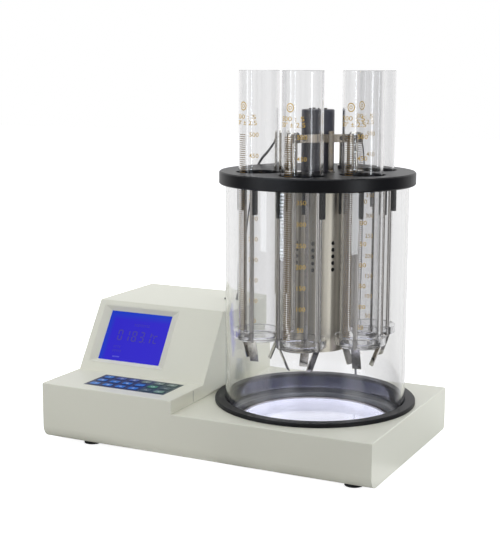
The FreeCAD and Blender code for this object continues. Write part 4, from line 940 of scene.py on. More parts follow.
class Artwork:
    """Flat marks in millimetres that become thin closed prints."""

    FILM = 0.04
    FIRED_FILM = 0.05
    BEND_STEP = 1.6
    JOIN = 1e-4
    CUT = 1e-5
    FONT_SIZE = 1.4
    FONT_WEIGHT = 0.02
    FONT_STEPS = 3
    DIGITS = {"0": "abcdef", "1": "bc", "3": "abcdg", "8": "abcdefg", "C": "adef"}
    DIGIT_GAP = 0.35

    def __init__(self) -> None:
        """Starts empty."""
        self.bm = bmesh.new()

    def bar(self, x: float, y: float, width: float, height: float, turn: float = 0.0) -> None:
        """Adds a rectangle.

        Args:
            x: Its centre along the artwork.
            y: Its centre up the artwork.
            width: Its width.
            height: Its height.
            turn: Its turn in degrees.
        """
        made = bmesh.ops.create_grid(self.bm, x_segments=1, y_segments=1, size=0.5)
        matrix = (Matrix.Translation((x, y, 0)) @ Matrix.Rotation(math.radians(turn), 4, "Z")
                  @ Matrix.Diagonal((width, height, 1, 1)))
        bmesh.ops.transform(self.bm, matrix=matrix, verts=made["verts"])

    def ring(self, x: float, y: float, outer: float, inner: float, steps: int = 24) -> None:
        """Adds a flat ring.

        Args:
            x: Its centre along the artwork.
            y: Its centre up the artwork.
            outer: Its outer radius.
            inner: Its inner radius.
            steps: How many points each circle has.
        """
        verts = []
        for radius in (outer, inner):
            verts += bmesh.ops.create_circle(self.bm, cap_ends=False, radius=radius,
                                             segments=steps)["verts"]
        bmesh.ops.translate(self.bm, vec=(x, y, 0), verts=verts)
        edges = list({edge for vert in verts for edge in vert.link_edges})
        bmesh.ops.bridge_loops(self.bm, edges=edges)

    def disc(self, x: float, y: float, radius: float, steps: int = 20) -> None:
        """Adds a filled disc, or with few steps a plain polygon."""
        made = bmesh.ops.create_circle(self.bm, cap_ends=True, radius=radius, segments=steps)
        bmesh.ops.translate(self.bm, vec=(x, y, 0), verts=made["verts"])

    def words(self, text: str, x: float, y: float, height: float, stretch: float = 1.0) -> None:
        """Adds digits or signs centred on a point.

        Args:
            text: The digits or signs.
            x: Their centre along the artwork.
            y: Their centre up the artwork.
            height: Their height.
            stretch: Their width, as a multiple of the plain one.
        """
        curve = bpy.data.curves.new("marks", "FONT")
        curve.body = text
        curve.align_x = "CENTER"
        curve.align_y = "CENTER"
        curve.size = height * self.FONT_SIZE
        curve.resolution_u = self.FONT_STEPS
        curve.offset = self.FONT_WEIGHT
        holder = bpy.data.objects.new("marks", curve)
        link(holder)
        mesh = evaluated_mesh(holder)
        bpy.data.objects.remove(holder)
        mesh.transform(Matrix.Translation((x, y, 0)) @ Matrix.Diagonal((stretch, 1, 1, 1)))
        self.bm.from_mesh(mesh)
        bpy.data.meshes.remove(mesh)

    def seven_segment(self, digit: str, at: Pair, size: Pair, weight: float) -> None:
        """Adds one seven-segment digit.

        Args:
            digit: The digit, or the letter C.
            at: Its centre.
            size: Its width and height.
            weight: How wide its strokes are.
        """
        half, gap = size[1] / 2, weight * self.DIGIT_GAP
        tall, wide = half - weight, size[0] - weight - gap * 2
        top, side = half - weight / 2, (size[0] - weight) / 2
        places = {"a": (0, top, wide, weight), "g": (0, 0, wide, weight),
                  "d": (0, -top, wide, weight), "b": (side, half / 2, weight, tall),
                  "c": (side, -half / 2, weight, tall), "e": (-side, -half / 2, weight, tall),
                  "f": (-side, half / 2, weight, tall)}
        for name in self.DIGITS[digit]:
            across, up, width, height = places[name]
            self.bar(at[0] + across, at[1] + up, width, height)

    def print_flat(self, frame_matrix: Matrix, thickness: float = FILM) -> bmesh.types.BMesh:
        """Gives the marks their thickness and lays them in a plane.

        Args:
            frame_matrix: From the artwork's millimetres to the row frame in metres.
            thickness: Thickness of the print in millimetres.

        Returns:
            The closed print.
        """
        self.thicken(thickness)
        bmesh.ops.transform(self.bm, matrix=frame_matrix, verts=self.bm.verts)
        return self.bm

    def thicken(self, thickness: float) -> None:
        """Turns the flat marks into closed plates that look along +Z.

        Args:
            thickness: Thickness of the plates in millimetres.
        """
        bmesh.ops.remove_doubles(self.bm, verts=self.bm.verts, dist=self.JOIN)
        for face in self.bm.faces:
            if face.normal.z < 0:
                face.normal_flip()
        made = bmesh.ops.extrude_face_region(self.bm, geom=list(self.bm.faces),
                                             use_keep_orig=True)
        top = [item for item in made["geom"] if isinstance(item, bmesh.types.BMVert)]
        bmesh.ops.translate(self.bm, vec=(0, 0, thickness), verts=top)
        bmesh.ops.recalc_face_normals(self.bm, faces=self.bm.faces)

    def wrap(self, centre: Pair, radius: float, angle: float,
             thickness: float = FIRED_FILM, step: float = BEND_STEP) -> bmesh.types.BMesh:
        """Gives the marks their thickness and bends them round a vertical cylinder.

        Args:
            centre: The cylinder's axis in millimetres.
            radius: Radius of the print's inner face in millimetres.
            angle: Direction of the artwork's middle, in degrees in the row frame.
            thickness: Thickness of the print in millimetres.
            step: Longest run between bends in millimetres.

        Returns:
            The closed bent print in metres.
        """
        bends = int(max(abs(vert.co.x) for vert in self.bm.verts) / step)
        for index in range(-bends, bends + 1):
            bmesh.ops.bisect_plane(self.bm, geom=self.bm.verts[:] + self.bm.edges[:]
                                   + self.bm.faces[:], plane_co=(index * step, 0, 0),
                                   plane_no=(1, 0, 0), dist=self.CUT)
        self.thicken(thickness)
        start = math.radians(angle)
        for vert in self.bm.verts:
            along, up, out = vert.co
            turn = start + along / radius
            reach = radius + out
            vert.co = ((centre[0] + reach * math.cos(turn)) * MM,
                       (centre[1] + reach * math.sin(turn)) * MM, up * MM)
        return self.bm


# Stage


@dataclass
class Viewpoint:
    """The camera, where the photograph was taken from."""

    place: Point = (728.9, -1468.8, 515.1)
    turn: float = VIEW_TURN
    dip: float = 9.42
    roll: float = 0.16
    lens: float = 81.5
    sensor: float = 36.0
    clip: float = 0.05

    def build(self) -> None:
        """Makes the camera and gives it to the scene."""
        turn, dip, roll = (math.radians(v) for v in (self.turn, self.dip, self.roll))
        ahead = Vector((-math.sin(turn) * math.cos(dip), math.cos(turn) * math.cos(dip),
                        -math.sin(dip)))
        right = Vector((math.cos(turn), math.sin(turn), 0))
        up = right.cross(ahead)
        x_axis = right * math.cos(roll) + up * math.sin(roll)
        y_axis = up * math.cos(roll) - right * math.sin(roll)
        matrix = Matrix((x_axis, y_axis, -ahead)).transposed().to_4x4()
        matrix.translation = Vector(self.place) * MM
        data = bpy.data.cameras.new("viewpoint")
        data.lens = self.lens
        data.sensor_width = self.sensor
        data.clip_start = self.clip
        camera = bpy.data.objects.new("viewpoint", data)
        camera.matrix_world = matrix
        link(camera)
        bpy.context.scene.camera = camera


@dataclass
class SoftBox:
    """A flat rectangular lamp."""

    name: str
    place: Point
    target: Point
    width: float
    height: float
    power: float
    diffuse: bool = True
    glossy: bool = True
    beads: int = 0
    bead_levels: Pair = (0.25, 1.7)
    colour: tuple[float, float, float] = (0.9, 0.945, 1.0)

    def bead(self, data: bpy.types.Light) -> None:
        """Breaks the lamp into a row of small lights, as glass shows them.

        Args:
            data: The lamp's data.
        """
        data.use_nodes = True
        data.node_tree.nodes.clear()
        graph = Graph(data.node_tree)
        spot = graph.add("ShaderNodeNewGeometry").outputs["Parametric"]
        along = graph.split(spot)[1]
        wave = graph.math("SINE", graph.math("MULTIPLY", along, math.tau * self.beads))
        strength = graph.remap(wave, -0.4, 0.5, *self.bead_levels)
        lit = graph.add("ShaderNodeEmission", {"Color": (*self.colour, 1),
                                               "Strength": strength}).outputs[0]
        graph.add("ShaderNodeOutputLight", {"Surface": lit})

    def build(self) -> None:
        """Makes the lamp, turned to its target."""
        data = bpy.data.lights.new(self.name, "AREA")
        data.shape = "RECTANGLE"
        data.size = self.width
        data.size_y = self.height
        data.energy = self.power
        data.color = self.colour
        if self.beads:
            self.bead(data)
        lamp = bpy.data.objects.new(self.name, data)
        way = Vector(self.target) - Vector(self.place)
        lamp.matrix_world = (Matrix.Translation(self.place)
                             @ way.to_track_quat("-Z", "Y").to_matrix().to_4x4())
        lamp.visible_camera = False
        lamp.visible_transmission = False
        lamp.visible_diffuse = self.diffuse
        lamp.visible_glossy = self.glossy
        link(lamp)


@dataclass
class Studio:
    """Floor, surroundings and lamps."""

    floor_size: float = 14.0
    left_room: Colour = (0.2, 0.197, 0.188, 1)
    right_room: Colour = (0.71, 0.73, 0.82, 1)
    bounces: int = 28
    lamps: list[SoftBox] = field(default_factory=lambda: [
        SoftBox("top_box", (-0.35, 0.0, 2.3), (-0.1, 0.0, 0.2), 1.8, 1.8, 20.0,
                colour=(0.87, 0.93, 1.0)),
        SoftBox("right_fill", (1.7, 1.5, 0.82), (-0.05, 0.0, 0.15), 0.9, 0.9, 24.5, True,
                False, colour=(0.85, 0.92, 1.0)),
        SoftBox("right_strip", (1.75, -0.62, 0.75), (0.1, 0.0, 0.3), 0.3, 1.7, 12.0, False),
        SoftBox("left_strip", (-1.1, -1.2, 0.75), (-0.2, 0.0, 0.2), 0.3, 1.7, 6.6),
        SoftBox("left_glint", (-0.43, -1.55, 0.75), (0.1, 0.0, 0.3), 0.16, 1.7, 8.0, False,
                True, 170)])

    def floor(self) -> None:
        """Makes the floor that the object stands on."""
        bm = bmesh.new()
        bmesh.ops.create_grid(bm, x_segments=1, y_segments=1, size=self.floor_size / 2)
        obj = new_object("studio_floor", bm, StageFloor("floor_paint"))

    def world(self) -> None:
        """Makes a world white to the camera, banded to shiny surfaces and soft to the rest."""
        world = bpy.data.worlds.new("studio")
        world.use_nodes = True
        world.node_tree.nodes.clear()
        graph = Graph(world.node_tree)
        where = graph.add("ShaderNodeTexCoord").outputs["Generated"]
        around = Surroundings()
        room = around.level(graph, where)
        share = graph.remap(around.rightward(graph, where), -1.0, 1.0, 0.0, 1.0)
        soft = graph.mix(share, self.left_room, self.right_room)
        seen = graph.mix(graph.mirrored(), soft, room)
        camera = graph.add("ShaderNodeLightPath").outputs["Is Camera Ray"]
        colour = graph.mix(camera, seen, (1, 1, 1, 1))
        sky = graph.add("ShaderNodeBackground", {"Color": colour, "Strength": 1.0}).outputs[0]
        graph.add("ShaderNodeOutputWorld", {"Surface": sky})
        bpy.context.scene.world = world

    def build(self) -> None:
        """Makes the floor, the world and the lamps."""
        self.floor()
        self.world()
        for lamp in self.lamps:
            lamp.build()
        scene = bpy.context.scene
        scene.view_settings.view_transform = "Standard"
        scene.cycles.max_bounces = self.bounces
        scene.cycles.transmission_bounces = self.bounces
        scene.cycles.transparent_max_bounces = self.bounces


# Cords


@dataclass
class Cord:
    """A free cord between the lid's equipment and a gland in the base."""

    node: str
    radius: float
    length: float
    points: list[Point]

    def line(self) -> bpy.types.Object:
        """Makes the smooth line through the cord's route.

        Returns:
            The line.
        """
        data = bpy.data.curves.new(self.node + "_line", "CURVE")
        data.dimensions = "3D"
        data.resolution_u = 8
        spline = data.splines.new("NURBS")
        spline.points.add(len(self.points) - 1)
        for slot, point in zip(spline.points, self.points):
            slot.co = (*(v * MM for v in point), 1.0)
        spline.order_u = 3
        spline.use_endpoint_u = True
        obj = bpy.data.objects.new(self.node + "_line", data)
        link(obj)
        return obj

    def build(self) -> None:
        line = self.line()
        path = [tuple(v.co) for v in evaluated_mesh(line).vertices]
        line.data.bevel_depth = self.radius * MM
        line.data.bevel_resolution = 4
        line.data.use_fill_caps = True
        bm = bmesh.new()
        bm.from_mesh(evaluated_mesh(line))
        bpy.data.objects.remove(line)
        close_up(bm)
        tube = new_object(self.node + "_tube", bm, Finishes.JACKET)
        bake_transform(tube)
        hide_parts(self.node)


@dataclass
class Cords:
    """The two cords that the photograph shows."""

    sensor: Cord = field(default_factory=lambda: Cord("sensor_cord", 2.0, 303.4, [
        (42.61, 5.0, 415.95), (30.13, 18.86, 408.73), (7.7, 43.8, 396.2), (-8.0, 61.0, 389.0),
        (-24.5, 75.5, 375.5), (-40.5, 81.5, 346.0), (-53.5, 83.0, 313.5), (-63.0, 83.4, 282.0),
        (-69.0, 83.7, 252.0), (-71.9, 83.9, 226.0), (-72.4, 83.8, 204.5),
        (-72.4, 83.8, 186.5)]))
    heater: Cord = field(default_factory=lambda: Cord("heater_cord", 1.6, 492.3, [
        (139.41, 30.0, 425.5), (131.03, 48.17, 425.5), (127.0, 66.0, 424.0),
        (121.0, 92.0, 417.5), (116.0, 118.0, 403.0), (110.5, 138.0, 381.0),
        (106.0, 149.0, 350.0), (103.5, 154.0, 313.0), (102.5, 156.5, 273.0),
        (101.5, 158.0, 231.0), (98.5, 160.0, 188.0), (95.0, 164.0, 146.0),
        (94.0, 170.5, 107.0), (94.1, 175.5, 78.0), (94.4, 177.0, 60.0), (94.7, 176.3, 47.8),
        (94.9, 171.2, 39.0), (95.0, 162.5, 34.0), (95.0, 152.5, 34.0)]))

    def build(self) -> None:
        """Makes both cords and dresses their boots and glands."""
        self.sensor.build()
        self.heater.build()
        Finishes.RUBBER.dress("cord_boots", "console_gland", "rear_gland")


# Base


@dataclass
class Housing:
    """Sheet-metal base with its plate, feet and screws."""

    step_x: float = -38.0
    seam_y: float = -89.7
    seam_width: float = 0.7
    seam_foot: float = 1.8
    seam_brow: float = 1.0

    def seam(self) -> bpy.types.Object:
        """Makes the dark joint line on the wall of the step.

        Returns:
            The line.
        """
        low, high = PLATEAU_Z + self.seam_foot, DECK_Z - self.seam_brow
        art = Artwork()
        art.bar(0, (low + high) / 2, self.seam_width, high - low)
        plane = Matrix(((0, 0, MM, self.step_x * MM), (MM, 0, 0, self.seam_y * MM),
                        (0, MM, 0, 0), (0, 0, 0, 1)))
        return new_object("housing_seam", art.print_flat(plane), Finishes.SEAM, "base")

    def build(self) -> None:
        """Dresses the housing and adds its seam."""
        Finishes.IVORY.dress("base_housing")
        Finishes.PLATED.dress("bottom_plate", "base_screws")
        Finishes.RUBBER.dress("feet")
        self.seam()


@dataclass(frozen=True)
class StrokeRow:
    """A row of small upright strokes with short flags, in display millimetres."""

    start: Pair
    count: int
    pitch: float
    height: float
    flag: float
    flag_rise: float
    foot_drop: float = 0.0
    weight: float = 0.6
    flag_weight: float = 0.5
    flag_shift: float = 0.8

    def draw(self, art: Artwork) -> None:
        """Adds the row, with a lower flag on two strokes of three where it has those.

        Args:
            art: The artwork that gets it.
        """
        for index in range(self.count):
            x, y = self.start[0] + index * self.pitch, self.start[1]
            art.bar(x, y, self.weight, self.height)
            art.bar(x + self.flag_shift, y + self.flag_rise, self.flag, self.flag_weight)
            if self.foot_drop and index % 3:
                art.bar(x + self.flag_shift, y - self.foot_drop, self.flag, self.flag_weight)


@dataclass
class Console:
    """Sloped console with its framed display."""

    slope_foot: Pair = (-60.8, DECK_Z)
    slope_brow: Pair = (-1.3, 177.5)
    left: float = -241.0
    window_left: float = 10.0
    window_foot: float = 13.0
    window: Pair = (125.0, 89.5)
    depth: float = 5.0
    print_sink: float = 0.01
    digits: tuple[tuple[str, float], ...] = (
        ("0", -25.5), ("1", -14.0), ("8", -2.0), ("3", 10.5), ("1", 22.0))
    digit_y: float = 1.5
    digit_size: Pair = (8.2, 16.5)
    digit_weight: float = 2.1
    unit_at: Pair = (33.5, 0.0)
    unit_size: Pair = (7.2, 12.5)
    unit_weight: float = 1.8
    dot_at: Pair = (16.8, -6.2)
    dot_radius: float = 0.8
    degree_at: Pair = (27.8, 6.0)
    degree_radii: Pair = (1.3, 0.6)
    rows: tuple[StrokeRow, ...] = (StrokeRow((-6.0, 18.6), 9, 2.9, 3.6, 1.4, 1.6, 1.4),
                                   StrokeRow((-30.0, -16.5), 4, 3.1, 3.4, 1.5, 1.5),
                                   StrokeRow((-30.0, -23.0), 5, 3.1, 3.4, 1.5, 1.5))
    status_at: Pair = (-27.4, -31.4)
    status_count: int = 6
    status_pitch: float = 2.0
    status_mark: Pair = (1.1, 2.1)

    def glass_frame(self) -> Matrix:
        """Finds where the display's glass is.

        Returns:
            From display millimetres, centred on the glass, to the row frame.
        """
        run = self.slope_brow[0] - self.slope_foot[0]
        rise = self.slope_brow[1] - self.slope_foot[1]
        length = math.hypot(run, rise)
        up = Vector((0, run / length, rise / length))
        side = Vector((1, 0, 0))
        out = side.cross(up)
        middle = (Vector((self.left, *self.slope_foot))
                  + side * (self.window_left + self.window[0] / 2)
                  + up * (self.window_foot + self.window[1] / 2)
                  - out * (self.depth - self.print_sink))
        matrix = Matrix((side * MM, up * MM, out * MM)).transposed().to_4x4()
        matrix.translation = middle * MM
        return matrix

    def lay(self, name: str, art: Artwork, finish: Finish) -> None:
        """Prints artwork on the display's glass.

        Args:
            name: The print's name.
            art: The artwork.
            finish: The finish that it gets.
        """
        piece = new_object(name, art.print_flat(self.glass_frame()), finish, "base")

    def readout(self) -> None:
        """Prints the large temperature figures."""
        art = Artwork()
        for digit, x in self.digits:
            art.seven_segment(digit, (x, self.digit_y), self.digit_size, self.digit_weight)
        art.seven_segment("C", self.unit_at, self.unit_size, self.unit_weight)
        art.disc(*self.dot_at, self.dot_radius, 8)
        art.ring(*self.degree_at, *self.degree_radii, 12)
        self.lay("display_readout", art, Finishes.LCD_INK)

    def small_rows(self) -> None:
        """Prints the small figures above and at the lower left."""
        art = Artwork()
        for row in self.rows:
            row.draw(art)
        self.lay("display_small_rows", art, Finishes.LCD_INK)

    def status_row(self) -> None:
        """Prints the short pale row at the lower left."""
        art = Artwork()
        for index in range(self.status_count):
            art.bar(self.status_at[0] + index * self.status_pitch, self.status_at[1],
                    *self.status_mark)
        self.lay("display_status_row", art, Finishes.LCD_FAINT)

    def build(self) -> None:
        """Dresses the console and adds the display's marks."""
        Finishes.IVORY.dress("console_cover")
        Finishes.BEZEL.dress("display_bezel")
        Finishes.DISPLAY.dress("display_glass")
        Finishes.PLATED.dress("console_screws")
        self.readout()
        self.small_rows()
        self.status_row()


class KeyColour(Enum):
    """Colours of the key areas."""

    BLUE = srgb(0, 112, 196)
    VIOLET = srgb(36, 76, 158)
    SAGE = srgb(100, 118, 108)
    GREEN = srgb(44, 136, 82)
    SLATE = srgb(34, 66, 68)
    MOSS = srgb(56, 80, 72)
    MINT = srgb(104, 140, 114)


@dataclass
class Keypad:
    """Printed membrane with coloured key areas and small generic signs."""

    low: Pair = (-187.5, -129.7)
    size: Pair = (126.0, 57.0)
    pitch: Pair = (20.2, 18.0)
    key: Pair = (13.4, 10.2)
    corner: float = 2.2
    rise: float = 0.4
    film: float = 0.06
    rows: tuple[tuple[KeyColour, ...], ...] = (
        (KeyColour.BLUE,) * 4 + (KeyColour.MOSS, KeyColour.MINT),
        (KeyColour.BLUE,) * 4 + (KeyColour.GREEN, KeyColour.SLATE),
        (KeyColour.BLUE, KeyColour.VIOLET, KeyColour.VIOLET) + (KeyColour.SAGE,) * 3)
    signs: tuple[str, ...] = ("7890", "456.", "123")
    sign_height: float = 5.2
    arrows: tuple[tuple[int, int, float], ...] = (
        (4, 0, 90), (5, 0, -90), (3, 2, 180), (4, 2, 0))
    arrow_bar: Pair = (3.6, 0.8)
    arrow_tip: float = 1.2
    arrow_half: float = 1.5
    arrow_lean: float = 140.0
    ring_radii: Pair = (2.7, 2.0)
    ring_bar: Pair = (0.8, 2.6)
    ring_bar_rise: float = 1.9
    minus: Pair = (5.5, 0.9)
    plus: Pair = (5.0, 0.9)

    def centre(self, column: int, row: int) -> Pair:
        """Finds the centre of a key area.

        Args:
            column: Its column, from 0 at the left.
            row: Its row, from 0 at the front.

        Returns:
            Its centre in millimetres.
        """
        middle = (len(self.rows[0]) - 1) / 2, (len(self.rows) - 1) / 2
        x, y = (low + size / 2 + (index - half) * pitch for low, size, index, half, pitch
                in zip(self.low, self.size, (column, row), middle, self.pitch))
        return x, y

    def areas(self, colour: KeyColour) -> bpy.types.Object:
        """Makes all key areas of one colour, as thin rounded patches.

        Args:
            colour: The colour.

        Returns:
            The patches, as one object.
        """
        bm = bmesh.new()
        z = DECK_Z + self.rise + self.film / 2
        places = [self.centre(column, row) for row, colours in enumerate(self.rows)
                  for column, own in enumerate(colours) if own is colour]
        for x, y in places:
            made = bmesh.ops.create_cube(bm, size=1.0)["verts"]
            matrix = (Matrix.Translation((x * MM, y * MM, z * MM))
                      @ Matrix.Diagonal((self.key[0] * MM, self.key[1] * MM, self.film * MM, 1)))
            bmesh.ops.transform(bm, matrix=matrix, verts=made)
        upright = [e for e in bm.edges if abs(e.verts[0].co.z - e.verts[1].co.z) > WELD]
        bmesh.ops.bevel(bm, geom=upright, offset=self.corner * MM, offset_type="OFFSET",
                        segments=4, profile=0.5, affect="EDGES", material=-1)
        finish = Coat("key_" + colour.name.lower(), colour.value, 0.36, 0.05, 2600.0, 0.05)
        return new_object("key_areas_" + colour.name.lower(), bm, finish, "base")

    def labels(self) -> bpy.types.Object:
        """Makes digits, arrows, a ring mark, a minus and a plus on the key areas.

        Returns:
            The signs, as one object.
        """
        art = Artwork()
        for row, text in enumerate(self.signs):
            for column, sign in enumerate(text):
                art.words(sign, *self.centre(column, row), self.sign_height)
        for column, row, turn in self.arrows:
            self.arrow(art, *self.centre(column, row), turn)
        x, y = self.centre(4, 1)
        art.ring(x, y, *self.ring_radii, 20)
        art.bar(x, y + self.ring_bar_rise, *self.ring_bar)
        art.bar(*self.centre(5, 1), *self.minus)
        art.bar(*self.centre(5, 2), *self.plus)
        art.bar(*self.centre(5, 2), *reversed(self.plus))
        top = DECK_Z + self.rise + self.film
        lay = Matrix.Translation((0, 0, top * MM)) @ Matrix.Diagonal((MM, MM, MM, 1))
        return new_object("key_labels", art.print_flat(lay), Finishes.MARK, "base")

    def arrow(self, art: Artwork, x: float, y: float, turn: float) -> None:
        """Adds an arrow of two bars.

        Args:
            art: The artwork that gets it.
            x: Its centre along the artwork.
            y: Its centre up the artwork.
            turn: Where it points, in degrees.
        """
        way = math.radians(turn)
        for side in (-1, 1):
            lean = way + side * math.radians(self.arrow_lean)
            art.bar(x + self.arrow_tip * math.cos(way) + self.arrow_half * math.cos(lean),
                    y + self.arrow_tip * math.sin(way) + self.arrow_half * math.sin(lean),
                    *self.arrow_bar, math.degrees(lean))

    def build(self) -> None:
        """Dresses the membrane and adds its areas and signs."""
        low = tuple(v * MM for v in self.low)
        high = tuple((v + s) * MM for v, s in zip(self.low, self.size))
        split = (self.centre(3, 0)[0] + self.pitch[0] / 2) * MM
        KeypadGround("keypad_membrane", low, high, split).dress("keypad_overlay")
        for colour in KeyColour:
            self.areas(colour)
        self.labels()


@dataclass
class RearPanel:
    """Inlet, switch and fuse in the rear wall."""

    switch_x: float = -129.0
    mark_rise: float = 5.2
    stroke: Pair = (0.8, 3.4)
    ring_radii: Pair = (1.9, 1.25)
    dish: float = 0.6

    def switch_marks(self) -> bpy.types.Object:
        """Makes the stroke and the ring on the rocker.

        Returns:
            The marks, as one object.
        """
        low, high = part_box("switch_rocker")
        art = Artwork()
        art.bar(0, self.mark_rise, *self.stroke)
        art.ring(0, -self.mark_rise, *self.ring_radii, 20)
        face = Matrix.Translation((self.switch_x * MM, high[1] - self.dish * MM,
                                   (low[2] + high[2]) / 2))
        turned = Matrix(((-MM, 0, 0, 0), (0, 0, MM, 0), (0, MM, 0, 0), (0, 0, 0, 1)))
        return new_object("switch_marks", art.print_flat(face @ turned), Finishes.MARK, "rocker")

    def build(self) -> None:
        """Dresses the rear fittings."""
        Finishes.BLACK_PLASTIC.dress("mains_inlet", "switch_frame", "switch_rocker", "fuse_body",
                                     "fuse_cap")
        self.switch_marks()


class Innards:
    """Boards, supply and relay inside the base."""

    def build(self) -> None:
        """Dresses the inner pieces."""
        Finishes.BOARD.dress("display_board", "keypad_board", "control_board", "light_board")
        Finishes.PLATED.dress("power_supply")
        Finishes.SINK.dress("heater_relay")


# Bath


@dataclass
class Bath:
    """Glass jar in its black ring, over the steel cup and the lit window."""

    axis: Pair = BATH_AXIS
    jar_radius: float = 121.5
    wall: float = 4.5
    floor: float = 6.0
    corner: float = 15.0
    jar_z: float = 38.5
    top_z: float = 364.5
    rim: float = 1.6
    well_radius: float = 123.0
    well_sheet: float = 1.0
    well_floor: float = 37.0
    flange_radius: float = 131.0
    window_radius: float = 101.0
    segments: int = 160

    def jar(self) -> None:
        """Makes the jar, with rounded lower corners and a fire-polished rim."""
        inner = self.jar_radius - self.wall
        floor_z = self.jar_z + self.floor
        lathe = Lathe([(0, self.jar_z), (self.jar_radius, self.jar_z),
                       (self.jar_radius, self.top_z), (inner, self.top_z),
                       (inner, floor_z), (0, floor_z)], self.axis, self.segments)
        bm = lathe.rounded([(self.jar_radius, self.jar_z, self.corner, 12),
                            (inner, floor_z, self.corner - self.wall, 10),
                            (self.jar_radius, self.top_z, self.rim, 4),
                            (inner, self.top_z, self.rim, 4)])
        obj = even_shading(new_object("glass_jar", bm, Finishes.JAR_GLASS, "base"))
        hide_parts("bath_jar")

    def well(self) -> None:
        """Makes the pressed steel cup under the jar."""
        outer = self.well_radius + self.well_sheet
        low = self.well_floor - self.well_sheet
        rim = PLATEAU_Z + self.well_sheet
        lathe = Lathe([(self.window_radius, low), (outer, low), (outer, PLATEAU_Z),
                       (self.flange_radius, PLATEAU_Z), (self.flange_radius, rim),
                       (self.well_radius, rim), (self.well_radius, self.well_floor),
                       (self.window_radius, self.well_floor)], self.axis, self.segments)
        obj = new_object("steel_cup", lathe.build(), Finishes.CUP, "base")
        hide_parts("bath_well")

    def build(self) -> None:
        """Makes the jar and the cup and dresses the rest."""
        self.jar()
        self.well()
        Finishes.BLACK_RING.dress("bath_ring")
        Finishes.SILICONE.dress("jar_cushion")
        Finishes.DIFFUSER.dress("light_diffuser")


# Lid


class LidAssembly:
    """Thick black lid with its seal and glands."""

    def build(self) -> None:
        """Dresses the lid."""
        Finishes.BLACK_LID.dress("lid")
        Finishes.SEAL.dress("lid_seal")
        Finishes.ROD_STEEL.dress("lid_glands")


class StirrerDrive:
    """Motor, shaft, impeller and the perforated tube round them."""

    def build(self) -> None:
        """Dresses the drive."""
        Finishes.BLACK_PAINT.dress("motor_cover")
        Finishes.STEEL.dress("motor_body", "stirrer_shaft", "stirrer_impeller")
        Finishes.DARK_SCREW.dress("motor_screws")
        Finishes.BRONZE.dress("shaft_bush")
        Finishes.TUBE_STEEL.dress("guard_tube")


class Heaters:
    """Hairpin heaters, probes and the bar that ties the caps."""

    def build(self) -> None:
        """Dresses heaters, probes, bar and stay."""
        Finishes.ROD_STEEL.dress("heater_1", "heater_2", "bath_sensor", "limit_sensor")
        Finishes.STEEL.dress("heater_bridge", "bridge_post")
        Finishes.DARK_SCREW.dress("bridge_screws")


class Holders:
    """Steel hangers, clear rings and black blocks."""

    def build(self) -> None:
        """Dresses the four holders."""
        for index in range(1, 5):
            Finishes.HANGER_STEEL.dress(f"holder_hangers_{index}")
            Finishes.RING_PLASTIC.dress(f"holder_ring_{index}")
        Finishes.BLACK_PLASTIC.dress("holder_blocks")


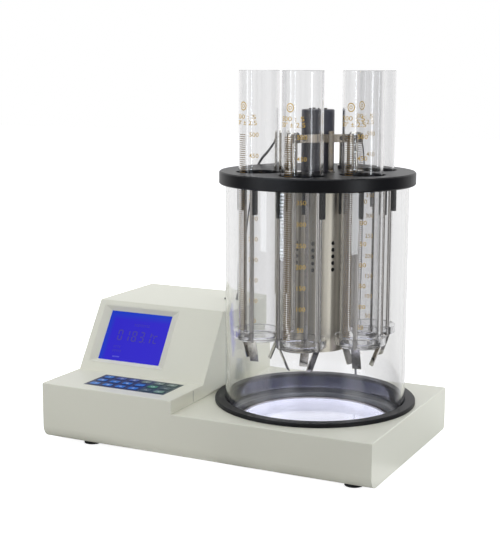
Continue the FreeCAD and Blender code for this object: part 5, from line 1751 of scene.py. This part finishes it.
@dataclass
class MeasuringCylinder:
    """One footless glass measuring cylinder with its amber print."""

    index: int
    centre: Pair
    facing: float
    radius: float = 26.5
    wall: float = 2.2
    floor: float = 6.0
    corner: float = 2.0
    foot_z: float = 155.5
    length: float = 355.0
    tick_start: int = 25
    tick_end: int = 500
    tick_step: int = 5
    volume_zero: float = 158.5
    volume_pitch: float = 0.54
    ladder_width: float = 13.5
    tick_weight: float = 0.8
    label_shift: float = 19.0
    label_step: int = 50
    label_height: float = 5.6
    label_stretch: float = 1.1
    rim: float = 0.8
    print_gap: float = 0.01
    mark_at: Pair = (2.8, 465.0)
    mark_rings: tuple[tuple[float, float, int], ...] = ((5.75, 4.4, 28), (2.4, 1.5, 18))
    row_height: float = 5.8
    rows: tuple[tuple[str, float, float, float], ...] = (
        ("500 : 5", 4.5, 451.0, 1.6), ("20° ± 2.5", 4.5, 443.5, 1.25))

    def glass(self) -> None:
        """Makes the cylinder itself."""
        inner = self.radius - self.wall
        top = self.foot_z + self.length
        floor_z = self.foot_z + self.floor
        lathe = Lathe([(0, self.foot_z), (self.radius, self.foot_z), (self.radius, top),
                       (inner, top), (inner, floor_z), (0, floor_z)], self.centre, 96)
        bm = lathe.rounded([(self.radius, self.foot_z, self.corner, 5),
                            (inner, floor_z, self.corner, 5),
                            (self.radius, top, self.rim, 3), (inner, top, self.rim, 3)])
        obj = even_shading(new_object(f"glass_cylinder_{self.index}", bm,
                                      Finishes.CYLINDER_GLASS, f"cylinder_{self.index}"))
        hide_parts(f"cylinder_{self.index}")

    def level(self, volume: float) -> float:
        """Finds the height of a volume's graduation."""
        return self.volume_zero + self.volume_pitch * volume

    def wrapped(self, art: Artwork, name: str, finish: Finish) -> None:
        """Bends artwork round the cylinder as a fired print.

        Args:
            art: The artwork.
            name: What the print's name says.
            finish: The finish that it gets.
        """
        bm = art.wrap(self.centre, self.radius + self.print_gap, self.facing)
        obj = new_object(f"cylinder_{name}_{self.index}", bm, finish, f"cylinder_{self.index}",
                         20.0)

    def graduations(self) -> None:
        """Makes the ladder of lines."""
        art = Artwork()
        for volume in range(self.tick_start, self.tick_end + 1, self.tick_step):
            art.bar(0, self.level(volume), self.ladder_width, self.tick_weight)
        self.wrapped(art, "lines", Finishes.AMBER_LINES)

    def figures(self) -> None:
        """Makes figures beside the ladder, a ring mark and two rows of generic signs."""
        art = Artwork()
        for volume in range(self.label_step, self.tick_end + 1, self.label_step):
            art.words(str(volume), self.label_shift, self.level(volume), self.label_height,
                      self.label_stretch)
        for outer, inner, steps in self.mark_rings:
            art.ring(*self.mark_at, outer, inner, steps)
        for text, x, y, stretch in self.rows:
            art.words(text, x, y, self.row_height, stretch)
        self.wrapped(art, "figures", Finishes.AMBER)

    def build(self) -> None:
        """Makes the glass and its print."""
        self.glass()
        self.graduations()
        self.figures()


@dataclass
class MeasuringCylinders:
    """The four cylinders, each turned as the photograph shows."""

    axis: Pair = BATH_AXIS
    circle: float = 79.4
    first_angle: float = 219.4
    step: float = 60.0
    ladder_angles: tuple[float, ...] = (-120.1, -109.1, -111.0, -119.5)

    def build(self) -> None:
        """Makes every cylinder."""
        for index, facing in enumerate(self.ladder_angles):
            way = math.radians(self.first_angle + self.step * index)
            centre = (self.axis[0] + self.circle * math.cos(way),
                      self.axis[1] + self.circle * math.sin(way))
            MeasuringCylinder(index + 1, centre, facing).build()


def main() -> None:
    """Builds the stage and every sub-assembly."""
    logging.basicConfig(level=logging.INFO, format="%(message)s")
    Viewpoint().build()
    for part in (Cords(), Studio(), Housing(), Console(), Keypad(), RearPanel(), Innards(),
                 Bath(), LidAssembly(), StirrerDrive(), Heaters(), Holders(),
                 MeasuringCylinders()):
        part.build()
        log.info("built %s", type(part).__name__)


if __name__ == "__main__":
    main()
